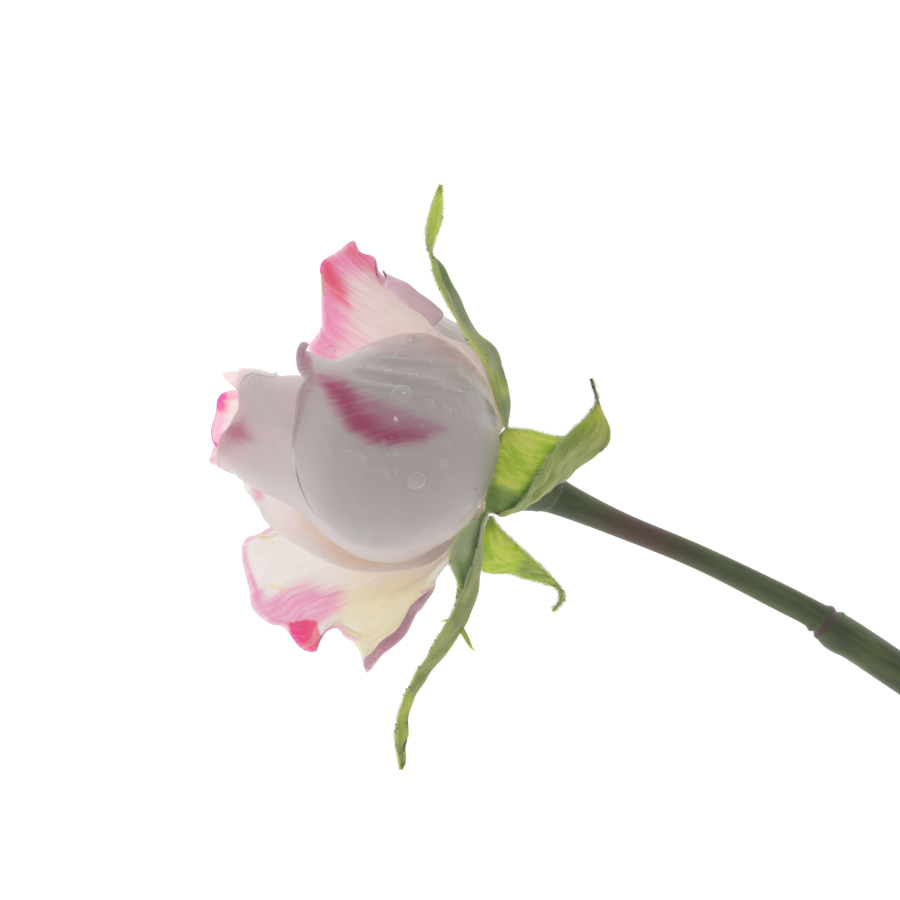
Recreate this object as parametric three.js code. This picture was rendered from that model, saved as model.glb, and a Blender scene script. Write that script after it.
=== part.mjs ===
// A cut rose lying on its side: one closed sheet for each petal and sepal, one body for hip and stem.
// Millimetres, +Z up. The flower grows toward -X and a little toward +Y; its stem runs down to the right.
import * as THREE from "three";

const PETAL_THICKNESS = 0.34;
const CORE_THICKNESS = 0.28;
const SEPAL_THICKNESS = 0.44;
const AXIS_TILT_DEG = 11; // the growth axis above -X
const RIM = [7.23, -3.08, 0]; // middle of the hip's rim
const BUD_SAG = 0.8; // how far the bud's tip nods toward the open petal
const STEM_SIDES = 14;

const tilt = THREE.MathUtils.degToRad(AXIS_TILT_DEG);
const GROWTH = [-Math.cos(tilt), Math.sin(tilt), 0];
const ACROSS = [Math.sin(tilt), Math.cos(tilt), 0];

// A smooth curve through the points, at t from 0 to 1.
function along(points, t) {
  const x = Math.min(Math.max(t, 0), 1) * (points.length - 1);
  const i = Math.min(Math.floor(x), points.length - 2);
  const f = x - i;
  const at = (k, axis) => {
    const last = points.length - 1;
    if (k < 0) return 2 * points[0][axis] - points[1][axis];
    if (k > last) return 2 * points[last][axis] - points[last - 1][axis];
    return points[k][axis];
  };
  return points[0].map((_, axis) => {
    const [a, b, c, d] = [at(i - 1, axis), at(i, axis), at(i + 1, axis), at(i + 2, axis)];
    const bend = (2 * a - 5 * b + 4 * c - d) * f * f;
    const twist = (3 * b - a - 3 * c + d) * f * f * f;
    return 0.5 * (2 * b + (c - a) * f + bend + twist);
  });
}

// Around the growth axis: azimuth 0 is across, 90 is up, heights run along the axis.
function around([azimuth, height, radius]) {
  const a = THREE.MathUtils.degToRad(azimuth);
  return [height, radius * Math.cos(a), radius * Math.sin(a)];
}

// From axis coordinates to the part's own, with the bud's slow nod toward its tip.
function place([h, q, c]) {
  const s = Math.min(Math.max((h - 22) / 14, 0), 1);
  const across = q - BUD_SAG * s * s * (3 - 2 * s);
  return RIM.map((rim, i) => rim + h * GROWTH[i] + across * ACROSS[i] + (i === 2 ? c : 0));
}

// Ribs of a cupped petal. A station is [height, radius, spread one way, spread the other way].
function cup(azimuth, stations, { lean = 0, lift = 0, ribs = 7 } = {}) {
  return Array.from({ length: ribs }, (_, i) => {
    const u = (2 * i) / (ribs - 1) - 1;
    return stations.map(([height, radius, low, high = low], j) => {
      const v = j / (stations.length - 1);
      const spread = u < 0 ? low : high;
      const raised = height + lift * u * u * (1 - v) ** 2;
      const leaned = radius + lean * u * (0.6 + (0.4 * radius) / 16);
      return around([azimuth + u * spread, raised, leaned]);
    });
  });
}

// A grid of points over the ribs, its far corners rounded off by the shoulders.
function loft(ribs, columns, rows, { shoulders = [0, 0], power = 4 } = {}) {
  return Array.from({ length: columns }, (_, i) => {
    const u = (2 * i) / (columns - 1) - 1;
    const top = 1 - shoulders[u < 0 ? 0 : 1] * Math.abs(u) ** power;
    return Array.from({ length: rows }, (_, j) => {
      const w = j / (rows - 1);
      const v = w < 0.7 ? w : 0.7 + ((w - 0.7) * (top - 0.7)) / 0.3;
      return along(ribs.map((rib) => along(rib, v)), (u + 1) / 2);
    });
  });
}

function normalAt(grid, i, j) {
  const column = (k) => grid[Math.min(Math.max(k, 0), grid.length - 1)];
  const point = (a, b) => new THREE.Vector3(...column(a)[Math.min(Math.max(b, 0), column(a).length - 1)]);
  const du = point(i + 1, j).sub(point(i - 1, j));
  const dv = point(i, j + 1).sub(point(i, j - 1));
  return du.cross(dv).normalize();
}

// A closed sheet of the given thickness over a grid of points.
function sheet(grid, thickness) {
  const columns = grid.length;
  const rows = grid[0].length;
  const positions = [];
  for (const side of [0.5, -0.5]) {
    for (let i = 0; i < columns; i++) {
      for (let j = 0; j < rows; j++) {
        const offset = normalAt(grid, i, j).multiplyScalar(side * thickness);
        positions.push(...new THREE.Vector3(...grid[i][j]).add(offset).toArray());
      }
    }
  }
  const front = (i, j) => i * rows + j;
  const back = (i, j) => columns * rows + i * rows + j;
  const faces = [];
  for (let i = 0; i < columns - 1; i++) {
    for (let j = 0; j < rows - 1; j++) {
      faces.push(front(i, j), front(i + 1, j), front(i + 1, j + 1));
      faces.push(front(i, j), front(i + 1, j + 1), front(i, j + 1));
      faces.push(back(i, j), back(i + 1, j + 1), back(i + 1, j));
      faces.push(back(i, j), back(i, j + 1), back(i + 1, j + 1));
    }
  }
  const loop = [];
  for (let i = 0; i < columns - 1; i++) loop.push([i, 0]);
  for (let j = 0; j < rows - 1; j++) loop.push([columns - 1, j]);
  for (let i = columns - 1; i > 0; i--) loop.push([i, rows - 1]);
  for (let j = rows - 1; j > 0; j--) loop.push([0, j]);
  loop.forEach(([i, j], k) => {
    const [m, n] = loop[(k + 1) % loop.length];
    faces.push(front(i, j), back(i, j), back(m, n));
    faces.push(front(i, j), back(m, n), front(m, n));
  });
  return solid(positions, faces);
}

// A tapered round stalk along a path of [x, y, z, radius].
function stalk(path, sides, rings) {
  const positions = [];
  const faces = [];
  const spine = Array.from({ length: rings }, (_, k) => along(path, k / (rings - 1)));
  spine.forEach(([x, y, z, radius], k) => {
    const before = new THREE.Vector3(...spine[Math.max(k - 1, 0)]);
    const after = new THREE.Vector3(...spine[Math.min(k + 1, rings - 1)]);
    const ahead = after.sub(before).normalize();
    const one = ahead.clone().cross(new THREE.Vector3(0, 0, 1)).normalize();
    const two = one.clone().cross(ahead);
    for (let s = 0; s < sides; s++) {
      const a = (2 * Math.PI * s) / sides;
      const point = new THREE.Vector3(x, y, z);
      point.addScaledVector(one, radius * Math.cos(a)).addScaledVector(two, radius * Math.sin(a));
      positions.push(...point.toArray());
    }
  });
  for (let k = 0; k < rings - 1; k++) {
    for (let s = 0; s < sides; s++) {
      const t = (s + 1) % sides;
      faces.push(k * sides + s, k * sides + t, (k + 1) * sides + t);
      faces.push(k * sides + s, (k + 1) * sides + t, (k + 1) * sides + s);
    }
  }
  for (const k of [0, rings - 1]) {
    const middle = positions.length / 3;
    positions.push(...spine[k].slice(0, 3));
    for (let s = 0; s < sides; s++) {
      const t = (s + 1) % sides;
      if (k === 0) faces.push(middle, t, s);
      else faces.push(middle, k * sides + s, k * sides + t);
    }
  }
  return solid(positions, faces);
}

// Indexed geometry, turned round if its faces point inward.
function solid(positions, faces) {
  const p = (k) => new THREE.Vector3(...positions.slice(3 * k, 3 * k + 3));
  let volume = 0;
  for (let k = 0; k < faces.length; k += 3) {
    volume += p(faces[k]).dot(p(faces[k + 1]).cross(p(faces[k + 2])));
  }
  const outward = volume > 0 ? faces : faces.slice().reverse();
  const geometry = new THREE.BufferGeometry();
  geometry.setAttribute("position", new THREE.Float32BufferAttribute(positions, 3));
  geometry.setIndex(outward);
  geometry.computeVertexNormals();
  return geometry;
}

const materials = {
  petal: new THREE.MeshStandardMaterial({ color: 0xe8d2cf, roughness: 0.6, metalness: 0 }),
  petal_pink: new THREE.MeshStandardMaterial({ color: 0xf2aac6, roughness: 0.6, metalness: 0 }),
  sepal: new THREE.MeshStandardMaterial({ color: 0x6d8a3a, roughness: 0.75, metalness: 0 }),
  stem: new THREE.MeshStandardMaterial({ color: 0x656b45, roughness: 0.6, metalness: 0 }),
};

const group = new THREE.Group();
function add(name, geometry, material) {
  const mesh = new THREE.Mesh(geometry, materials[material]);
  mesh.name = name;
  group.add(mesh);
}

function petal(name, ribs, columns, rows, shape = {}, thickness = PETAL_THICKNESS, material = "petal") {
  const grid = loft(ribs, columns, rows, shape).map((column) => column.map(place));
  add(name, sheet(grid, thickness), material);
}

// The great outer petal that faces up and closes the ball.
petal("petal_front", cup(80, [
  [0.3, 6.9, 34, 38],
  [1.6, 10.2, 50, 46],
  [4.2, 13.7, 64, 52],
  [9.3, 17.0, 76, 62],
  [15, 18.4, 76, 68],
  [21, 17.4, 60, 69],
  [26.5, 14.9, 48, 62],
  [31.2, 12.9, 47, 52],
], { lift: 0.6, ribs: 9 }), 13, 11, { shoulders: [0.02, 0.17], power: 3.2 });

// The long petal beneath it, wrapped round the bud to its tip.
petal("petal_under", cup(104, [
  [0.9, 6.2, 34, 36],
  [3, 9.2, 50, 60],
  [6.4, 13.2, 60, 76],
  [12, 16.7, 66, 82],
  [18, 17.3, 70, 84],
  [24, 15.0, 70, 82],
  [30, 10.9, 72, 80],
  [36, 9.2, 76, 78],
  [42.4, 7.8, 76, 74],
], { ribs: 9 }), 13, 12, { shoulders: [0.14, 0.03], power: 5 });

// The two opened petals, rib by rib as [azimuth, height, radius].
const TOP_PETAL = [
  [[18, 0.4, 7.3], [21, 2.8, 13.7], [24, 8, 19], [24, 14.4, 21.8], [20, 19.5, 24], [14, 23.4, 26.3]],
  [[10, 0.4, 7.3], [12, 3, 14.3], [14, 8, 19.8], [14, 14.5, 22], [11, 20.5, 25], [4.5, 25.5, 29.2]],
  [[0, 0.3, 7.3], [0, 3, 14.7], [0, 8, 20], [-1, 15, 21.9], [-3, 22, 25.6], [-8, 29, 30.2]],
  [[-15, 0.3, 7.3], [-18, 3, 14.8], [-20, 8, 20], [-20, 15, 21.9], [-20, 23, 25], [-20, 31.3, 28.4]],
  [[-28, 0.3, 7.3], [-35, 3, 14.6], [-38, 8, 19.6], [-38, 15, 21.4], [-36, 23, 23.4], [-31, 32, 28]],
  [[-38, 0.3, 7.3], [-52, 3, 14.2], [-56, 8, 18.9], [-55, 15, 20.6], [-51, 23, 21.9], [-41, 31.4, 24.7]],
  [[-46, 0.3, 7.3], [-68, 3, 13.6], [-74, 8, 18.3], [-73, 15, 19.9], [-66, 22.5, 20.6], [-56, 30.4, 21.8]],
];
const LOW_PETAL = [
  [[158, 0.4, 7.3], [161, 2.6, 10.2], [169, 5.2, 15.6], [177, 7.2, 21.8], [184, 9.9, 28.6], [188, 14.4, 34.6]],
  [[172, 0.4, 7.3], [176, 3.2, 12], [180, 7.2, 18], [185, 11, 23.5], [190, 14.5, 28.8], [192.5, 19.2, 31.4]],
  [[184, 0.3, 7.3], [188, 3.4, 13], [191, 8.5, 19], [194, 14, 24], [197, 19, 29], [199, 24.8, 34.3]],
  [[196, 0.3, 7.3], [200, 3.5, 13.5], [203, 9, 19], [205, 16, 23.5], [205, 23, 28], [205, 30.3, 32.6]],
  [[208, 0.3, 7.3], [213, 3.5, 13.6], [217, 9, 18.8], [217, 16.5, 22.4], [216, 25, 26], [213, 34, 29.8]],
  [[220, 0.3, 7.3], [227, 3.3, 13.4], [231, 9, 18.4], [231, 16, 21.2], [229, 25, 23.4], [221, 36.4, 26]],
  [[230, 0.3, 7.3], [240, 3, 13], [246, 8.5, 17.6], [246, 15, 19.9], [243, 23, 21.6], [232, 33, 24.4]],
];
const opened = (ribs) => ribs.map((rib) => rib.map(around));
petal("petal_top", opened(TOP_PETAL), 11, 10, { shoulders: [0.04, 0.04] }, PETAL_THICKNESS, "petal_pink");
petal("petal_low", opened(LOW_PETAL), 11, 10, { shoulders: [0, 0.04] }, PETAL_THICKNESS);

// The two that hold the bud from behind.
petal("petal_back", cup(290, [
  [1.2, 6.3, 34, 30],
  [4, 11.6, 38, 40],
  [8.4, 16.6, 38, 44],
  [15, 18.9, 38, 42],
  [22, 19.0, 36, 31],
  [28, 17.6, 32, 22],
  [33, 15.2, 26, 14],
], { lean: -0.6 }), 11, 9, { shoulders: [0.15, 0.1], power: 3.5 });
petal("petal_cradle", cup(218, [
  [1, 6.3, 30, 30],
  [3.2, 9.9, 30, 34],
  [7, 15.2, 32, 38],
  [12, 17.5, 34, 40],
  [18, 18.7, 41, 41],
  [22, 18.4, 41, 40],
  [27, 16.7, 41, 38],
  [33, 13.6, 40, 34],
  [37.9, 9.6, 38, 30],
], { lean: -0.6 }), 11, 10, { shoulders: [0.06, 0.12] });

// The whorls inside, each petal a little taller or shorter than its neighbours.
const WHORLS = [
  {
    name: "petal_mid", azimuth: 176, lean: 0.72, shoulder: 0.12, thickness: PETAL_THICKNESS,
    columns: 9, rows: 10, taller: [0.4, -0.2, 0, 0],
    profile: [
      [1.6, 5.4, 28], [3.8, 8, 42], [7, 12, 55], [12.3, 15.2, 62], [18, 15.9, 62],
      [24, 13.4, 59], [30, 9.5, 57], [36, 8, 54], [41.5, 6.9, 52],
    ],
  },
  {
    name: "petal_inner", azimuth: 84, lean: 0.66, shoulder: 0.1, thickness: CORE_THICKNESS,
    columns: 9, rows: 10, taller: [1, -1, -0.6, -0.2, 0.4],
    profile: [
      [2.8, 4.5, 28], [5.2, 7, 42], [8.4, 10.6, 55], [13, 13.4, 62], [18, 14, 62],
      [24, 11.5, 59], [30, 7.85, 57], [36, 6.4, 55], [43.6, 5.65, 54],
    ],
  },
  {
    name: "petal_heart", azimuth: 120, lean: 0.6, shoulder: 0.1, thickness: CORE_THICKNESS,
    columns: 9, rows: 10, taller: [0, 0, 0, 0, 0],
    profile: [
      [4, 3.6, 28], [6.6, 5.9, 42], [9.6, 9, 55], [13.6, 11.3, 62], [18, 12, 62],
      [24, 9.7, 59], [30, 6.25, 57], [36, 5, 55], [42.8, 4.5, 54],
    ],
  },
];
for (const whorl of WHORLS) {
  const last = whorl.profile.length - 1;
  whorl.taller.forEach((extra, k) => {
    const stations = whorl.profile.map(([h, r, spread], i) => [h + extra * (i / last) ** 3, r, spread]);
    const ribs = cup(whorl.azimuth + 72 * k, stations, { lean: whorl.lean });
    const shape = { shoulders: [whorl.shoulder, whorl.shoulder] };
    petal(whorl.name + "_" + (k + 1), ribs, whorl.columns, whorl.rows, shape, whorl.thickness);
  });
}

// Three petals rolled round the very middle.
const CORE_PROFILE = [
  [5.4, 2.4, 40], [8.4, 5, 66], [13.4, 8.2, 80], [20, 8.2, 84], [28, 5.2, 80], [35, 3.7, 78], [41.5, 3.1, 74],
];
for (let k = 0; k < 3; k++) {
  const ribs = cup(60 + 120 * k, CORE_PROFILE, { lean: 0.5 });
  petal("petal_core_" + (k + 1), ribs, 9, 10, { shoulders: [0.1, 0.1] }, CORE_THICKNESS);
}

// Sepals, rib by rib from one margin to the other, each rib running from the rim to the tip.
const SEPALS = {
  sepal_front: [
    [
      [8.5, 3.4, 4.2], [12.3, 3.1, 7.6], [17.1, 2, 9.6], [19.2, 3.5, 9.8], [21.4, 5.5, 9.6],
      [22.3, 7.4, 9.4], [21.3, 10.9, 9],
    ],
    [
      [7.7, 0.3, 6.9], [10.9, -0.3, 9], [15.8, -0.9, 9.6], [19.1, 0.8, 9.2], [21.8, 3.1, 9.2],
      [22.3, 7.4, 9.3], [21.4, 10.9, 9],
    ],
    [
      [6.6, -4.6, 7.6], [9.2, -6.3, 9.2], [14.2, -5.1, 9], [19.7, -1.2, 8.4], [22.8, 1.5, 8.6],
      [22.5, 7.5, 9.2], [21.5, 10.9, 9],
    ],
    [
      [5.5, -7.7, 8.1], [8, -9.8, 8.4], [13.1, -7.7, 8.6], [20, -2.2, 8.2], [24.2, 1.5, 8.6],
      [22.6, 7.5, 9.2], [21.6, 10.9, 9],
    ],
    [
      [5.5, -9.2, 7.4], [9.2, -9.5, 9.2], [13.8, -5.1, 10.8], [18.6, -0.3, 10.6], [22.6, 4, 10.2],
      [22.6, 7.7, 9.5], [21.7, 11, 9],
    ],
    [
      [6, -9.7, 6.6], [10.6, -8.2, 10.6], [14, -2.5, 12], [17.4, 1.8, 11.8], [21.2, 5.7, 10.6],
      [22.5, 7.8, 9.7], [21.8, 11, 9],
    ],
  ],
  sepal_top: [
    [
      [8.3, 3.5, 3.6], [6.6, 8.5, 7], [5.2, 12.6, 8.2], [1.4, 18.9, 8.4], [-2, 25.5, 6.8],
      [-3.1, 29.8, 6], [-3.8, 34.6, 5.6], [-1.7, 40.7, 5.3],
    ],
    [
      [8.7, 3.7, 4.2], [9, 8, 6.4], [7.2, 14.8, 9], [3.4, 18.9, 9.4], [-0.3, 26.5, 7.6],
      [-2.8, 30.5, 6.4], [-2.8, 35.1, 6.4], [-1.4, 40.6, 5.3],
    ],
    [
      [8.5, 3.2, 5.6], [7.4, 8, 8.8], [5.5, 14.3, 10.4], [2, 19.1, 10.4], [-1.4, 26, 8.6],
      [-2.6, 30.5, 6.6], [-1.2, 35.4, 6], [-1.1, 40.6, 5.3],
    ],
  ],
  sepal_low: [
    [
      [5.4, -9.1, 4.6], [3.7, -10.8, 7.6], [1.1, -12.9, 9.4], [-0.2, -16.6, 8], [1.2, -21.2, 4.8],
      [-0.3, -26.5, 3.6], [-3.8, -32.3, 3], [-7.1, -38.5, 2.6], [-8.5, -43.8, 2.4],
      [-7.8, -49.1, 2.3],
    ],
    [
      [5.6, -9.4, 4.2], [4.3, -11.1, 6.8], [2.9, -13.7, 8], [2.5, -17.2, 6], [2.8, -21.8, 3.8],
      [0.9, -27.1, 3.2], [-2.8, -32.9, 2.6], [-6.3, -38.8, 2.2], [-7.4, -43.8, 2.2],
      [-7.6, -49.1, 2.3],
    ],
    [
      [5.8, -9.5, 3.8], [5.1, -11.4, 5.6], [4.8, -13.8, 6.2], [4.6, -17.8, 4.8], [3.8, -23.1, 3.8],
      [1.1, -28.6, 3.4], [-2.5, -33.2, 3], [-6, -38.8, 2.6], [-6.6, -43.8, 2.4],
      [-7.4, -49.1, 2.3],
    ],
    [
      [5.8, -9.3, 5.2], [4.9, -11.1, 7], [4.5, -13.8, 7.8], [3.2, -17.8, 6.8], [1.4, -22.5, 5.4],
      [-0.8, -26.8, 4.8], [-4.2, -32.5, 4.2], [-7.4, -38.6, 3.6], [-8.2, -43.8, 3.2],
      [-7.2, -49.1, 2.3],
    ],
  ],
  sepal_lower: [
    [
      [5.9, -10.2, -1.8], [4.6, -14.6, -1], [4.9, -18.6, -2.6], [8.9, -19.2, -4.2],
      [12.9, -20.2, -5.4], [16.3, -21.4, -6], [16.9, -23.2, -6.2], [15.7, -24.8, -6.4],
    ],
    [
      [6.2, -10.2, -0.9], [6.2, -13.2, 0.4], [7.4, -16.3, -1.6], [10.5, -17.5, -3.4],
      [13.5, -18.9, -5], [16.5, -20.8, -5.8], [17.3, -22.9, -6.2], [15.9, -25, -6.4],
    ],
    [
      [6.5, -10.2, -0.2], [7.7, -12, 0], [9.8, -14, -1.8], [12, -16, -3.6], [14.2, -18, -5.2],
      [16.6, -20.5, -5.8], [17.8, -22.9, -6.2], [16.1, -25.2, -6.4],
    ],
  ],
  sepal_back: [
    [
      [6.8, -7.7, -5.8], [8.9, -8.5, -8.4], [12.3, -7.7, -11.4], [16.3, -4.6, -13.6],
      [20.4, 0.4, -15.5],
    ],
    [
      [8, -3.1, -7.6], [10, -3.7, -10.4], [13.1, -3.1, -13], [16.6, -1.2, -14.8],
      [20.3, 0.6, -15.5],
    ],
    [
      [8.8, 1.8, -5.8], [11.1, 1.2, -8.6], [13.8, 1.2, -12], [16.9, 1.5, -14.4],
      [20.2, 0.9, -15.5],
    ],
  ],
};
const SEPAL_GRIDS = {
  sepal_front: [8, 10],
  sepal_top: [5, 12],
  sepal_low: [7, 13],
  sepal_lower: [5, 11],
  sepal_back: [5, 8],
};
for (const [name, ribs] of Object.entries(SEPALS)) {
  const [columns, rows] = SEPAL_GRIDS[name];
  const grid = loft(ribs, columns, rows);
  add(name, sheet(grid, SEPAL_THICKNESS), "sepal");
}

// Hip and stem, with the swollen node near the cut: [x, y, z, radius].
const STALK = [
  [2.2, -2.1, 0, 0.9], [4.8, -2.6, 0, 3], [6.4, -2.9, 0, 5.1], [7.4, -3.1, 0, 6.5],
  [9.4, -3.5, 0, 6.2], [12.3, -4.8, -0.6, 5.2], [14.9, -6.3, -1.4, 3.6], [17.2, -7.5, -2.2, 2.7],
  [26.2, -11.5, -4.2, 2], [38.5, -16.6, -6.9, 1.9], [50.8, -22.6, -9.8, 2.1],
  [56.9, -25.8, -11.3, 2.2], [60, -28.2, -12.2, 3], [63.1, -30, -13, 2.9], [69.1, -34, -14.7, 2.9],
  [90, -48.2, -17.3, 2.8],
];
add("stem", stalk(STALK, STEM_SIDES, 30), "stem");

// The part's origin is under the middle of its box, on the surface it lies on.
const box = new THREE.Box3().setFromObject(group, true);
const middle = box.getCenter(new THREE.Vector3());
for (const mesh of group.children) {
  mesh.geometry.translate(-middle.x, -middle.y, -box.min.z);
}

export default group;
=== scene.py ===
# %% [markdown]
# # A half-open rose, laid on a light table
#
# A cut rose is a short list of thin sheets: petals that overlap round a bud, sepals that fold back
# over the hip, and one stem that carries them. The solid model fixes where each sheet lies and how
# big it is. Here every sheet is built again, finer, with its rolls, nicks, folds and skin.

# %% Load the frame
import bpy
import numpy as np
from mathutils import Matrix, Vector


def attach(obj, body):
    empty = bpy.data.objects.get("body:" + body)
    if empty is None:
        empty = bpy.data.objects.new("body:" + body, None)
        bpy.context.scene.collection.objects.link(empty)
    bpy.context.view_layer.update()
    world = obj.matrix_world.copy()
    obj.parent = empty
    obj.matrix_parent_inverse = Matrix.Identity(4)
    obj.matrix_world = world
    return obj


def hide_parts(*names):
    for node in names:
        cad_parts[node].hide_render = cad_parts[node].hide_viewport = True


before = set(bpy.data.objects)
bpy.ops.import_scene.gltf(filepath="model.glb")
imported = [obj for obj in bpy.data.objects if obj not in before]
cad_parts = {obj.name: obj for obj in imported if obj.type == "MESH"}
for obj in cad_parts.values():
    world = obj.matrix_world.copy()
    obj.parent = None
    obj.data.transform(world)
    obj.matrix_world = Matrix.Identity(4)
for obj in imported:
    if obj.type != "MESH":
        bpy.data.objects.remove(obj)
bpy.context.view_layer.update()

# %% [markdown]
# ## The flower's own measures
#
# Petals grow round an axis, so they are easiest to describe round one: an azimuth, a height along
# the axis and a radius from it. The flower's axis lies flat and points left and a little up, and
# the stem slopes down to the surface. Lengths stay in millimetres until a mesh is made. One last
# shift puts the flower where the solid model has it.

# %% Axis, base and shift
MM = 0.001
AXIS_TILT = np.radians(11)
GROWTH = np.array([-np.cos(AXIS_TILT), np.sin(AXIS_TILT), 0])
ACROSS = np.array([np.sin(AXIS_TILT), np.cos(AXIS_TILT), 0])
UP = np.array([0, 0, 1.0])
RIM = np.array([7.23, -3.08, 0])
BUD_SAG = 0.8
PART_ORIGIN = np.array([27.365, -4.905, -20.02])


def around(azimuth, height, radius):
    """Axis coordinates (along, across, up) of points round the growth axis."""
    a = np.radians(azimuth)
    return np.stack(np.broadcast_arrays(height, radius * np.cos(a), radius * np.sin(a)), -1)


def place(axis_points):
    """From axis coordinates to the flower's, with the bud's slow nod toward its tip."""
    h, q, c = (axis_points[..., k:k + 1] for k in range(3))
    s = np.clip((h - 22) / 14, 0, 1)
    return RIM + h * GROWTH + (q - BUD_SAG * s * s * (3 - 2 * s)) * ACROSS + c * UP


# %% [markdown]
# ## Smooth curves through a few points
#
# A petal needs few numbers if a smooth curve does the rest. A Catmull-Rom curve passes through
# every point it is given, so a rib can be read off as a handful of places on the petal. A Bezier
# would do as well, but its handles are harder to read back.

# %% Curves and lofts
def along(points, t):
    """Catmull-Rom through points along their first axis, at each t from 0 to 1."""
    points = np.asarray(points, float)
    t = np.clip(np.asarray(t, float), 0, 1) * (len(points) - 1)
    i = np.minimum(t.astype(int), len(points) - 2)
    f = (t - i).reshape(t.shape + (1,) * (points.ndim - 1))
    padded = np.concatenate([[2 * points[0] - points[1]], points, [2 * points[-1] - points[-2]]])
    a, b, c, d = (padded[i + k] for k in range(4))
    bend = (2 * a - 5 * b + 4 * c - d) * f ** 2
    return 0.5 * (2 * b + (c - a) * f + bend + (3 * b - a - 3 * c + d) * f ** 3)


def cup(azimuth, stations, lean=0.0, lift=0.0, ribs=7):
    """Ribs of a cupped petal from stations of (height, radius, spread low, spread high)."""
    rows = np.array([s if len(s) == 4 else (*s, s[2]) for s in stations], float)
    u = np.linspace(-1, 1, ribs)[:, None]
    v = np.linspace(0, 1, len(rows))[None]
    height, radius, low, high = rows.T[:, None]
    spread = np.where(u < 0, low, high)
    raised = height + lift * u * u * (1 - v) ** 2
    return around(azimuth + u * spread, raised, radius + lean * u * (0.6 + 0.4 * radius / 16))


def opened(ribs):
    """Ribs given point by point as (azimuth, height, radius)."""
    table = np.array(ribs, float)
    return around(table[..., 0], table[..., 1], table[..., 2])


def loft(ribs, columns, rows, shoulders=(0, 0), power=4.0):
    """A grid of points over the ribs, its far margin rounded by the shoulders."""
    u = np.linspace(-1, 1, columns)
    w = np.linspace(0, 1, rows)
    top = 1 - np.where(u < 0, *shoulders) * np.abs(u) ** power
    v = np.where(w < 0.7, w, 0.7 + (w - 0.7) * (top[:, None] - 0.7) / 0.3)
    skeleton = along(ribs, (u + 1) / 2)
    return np.stack([along(skeleton[i], v[i]) for i in range(columns)])


# %% [markdown]
# ## Seeded unevenness
#
# Nothing that grows is even. A sum of a few sine waves, with directions and phases drawn once from
# a seed, wanders smoothly and comes out the same on every run.

# %% Wandering values and soft steps
def wander(seed, size, x, y=0.0):
    """Smooth values from about -1 to 1 whose bumps are about one size across."""
    rng = np.random.default_rng(seed)
    total = 0
    for _ in range(6):
        angle, phase = rng.uniform(0, 2 * np.pi, 2)
        pitch = np.pi / (size * rng.uniform(0.6, 1.5))
        total = total + np.sin(pitch * (np.cos(angle) * x + np.sin(angle) * y) + phase)
    return total / 2.6


def smooth(low, high, x):
    """0 below low, 1 above high, eased between."""
    t = np.clip((x - low) / (high - low), 0, 1)
    return t * t * (3 - 2 * t)


def bell(x, middle, width):
    return np.exp(-((x - middle) / width) ** 2)


def patch(grid, outline, soft):
    """1 inside an outline drawn on the surface below, 0 outside, soft mm wide between."""
    p = grid[..., :2].reshape(-1, 1, 2)
    a = np.array(outline, float)
    b = np.roll(a, -1, 0)
    t = np.clip(np.sum((p - a) * (b - a), -1) / np.sum((b - a) ** 2, -1), 0, 1)
    distance = np.linalg.norm(p - a - t[..., None] * (b - a), axis=-1).min(1)
    straddles = (a[:, 1] > p[..., 1]) != (b[:, 1] > p[..., 1])
    rise = np.where(b[:, 1] == a[:, 1], 1e-9, b[:, 1] - a[:, 1])
    left = p[..., 0] < a[:, 0] + (p[..., 1] - a[:, 1]) * (b[:, 0] - a[:, 0]) / rise
    inside = (straddles & left).sum(1) % 2 == 1
    signed = np.where(inside, distance, -distance)
    return smooth(-soft, soft, signed).reshape(grid.shape[:2])


def stroke(grid, path, soft):
    """1 along a brush stroke drawn on the surface below, through (x, y, radius) places."""
    p = grid[..., :2]
    mask = 0
    for (ax, ay, ar), (bx, by, br) in zip(path[:-1], path[1:]):
        a, b = np.array([ax, ay]), np.array([bx, by])
        t = np.clip((p - a) @ (b - a) / ((b - a) @ (b - a)), 0, 1)
        off = np.linalg.norm(p - a - t[..., None] * (b - a), axis=-1) - (ar + t * (br - ar))
        mask = np.maximum(mask, smooth(soft, -soft, off))
    return mask


# %% [markdown]
# ## Working a sheet
#
# A petal is made smooth and then worked, as a sugar florist works a petal of paste: waves pushed
# into the margin, an edge rolled over a pin, creases pressed in. Each tool here takes a grid of
# points and gives one back, so a petal's cell reads as the list of what was done to it.

# %% Tools for sheets
def facing(grid):
    """Unit normals of a grid, on the side away from the growth axis."""
    normal = np.cross(np.gradient(grid, axis=0), np.gradient(grid, axis=1))
    normal /= np.linalg.norm(normal, axis=-1, keepdims=True) + 1e-9
    from_base = grid - RIM
    radial = from_base - (from_base @ GROWTH)[..., None] * GROWTH
    return normal if np.sum(radial * normal) > 0 else -normal


def spans(grid):
    """Distances in mm: across from one side margin, and lengthwise from the base."""
    side = np.linalg.norm(np.diff(grid, axis=0), axis=-1)
    side = np.concatenate([np.zeros((1, grid.shape[1])), np.cumsum(side, 0)])
    length = np.linalg.norm(np.diff(grid, axis=1), axis=-1)
    length = np.concatenate([np.zeros((grid.shape[0], 1)), np.cumsum(length, 1)], 1)
    return side, length


def to_margin(grid):
    """Distance in mm from each point to the petal's free margins."""
    side, length = spans(grid)
    return np.minimum(np.minimum(side, side[-1:] - side), length[:, -1:] - length)


def push(grid, amount):
    return grid + facing(grid) * amount[..., None]


def turned(values, edge):
    """Swap a grid's axes so that the named edge comes last in its rows, and back again."""
    if edge == "far":
        return values
    if edge == "high":
        return values.swapaxes(0, 1)
    return values[::-1].swapaxes(0, 1)


def returned(values, edge):
    if edge == "far":
        return values
    return values.swapaxes(0, 1) if edge == "high" else values.swapaxes(0, 1)[::-1]


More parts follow.
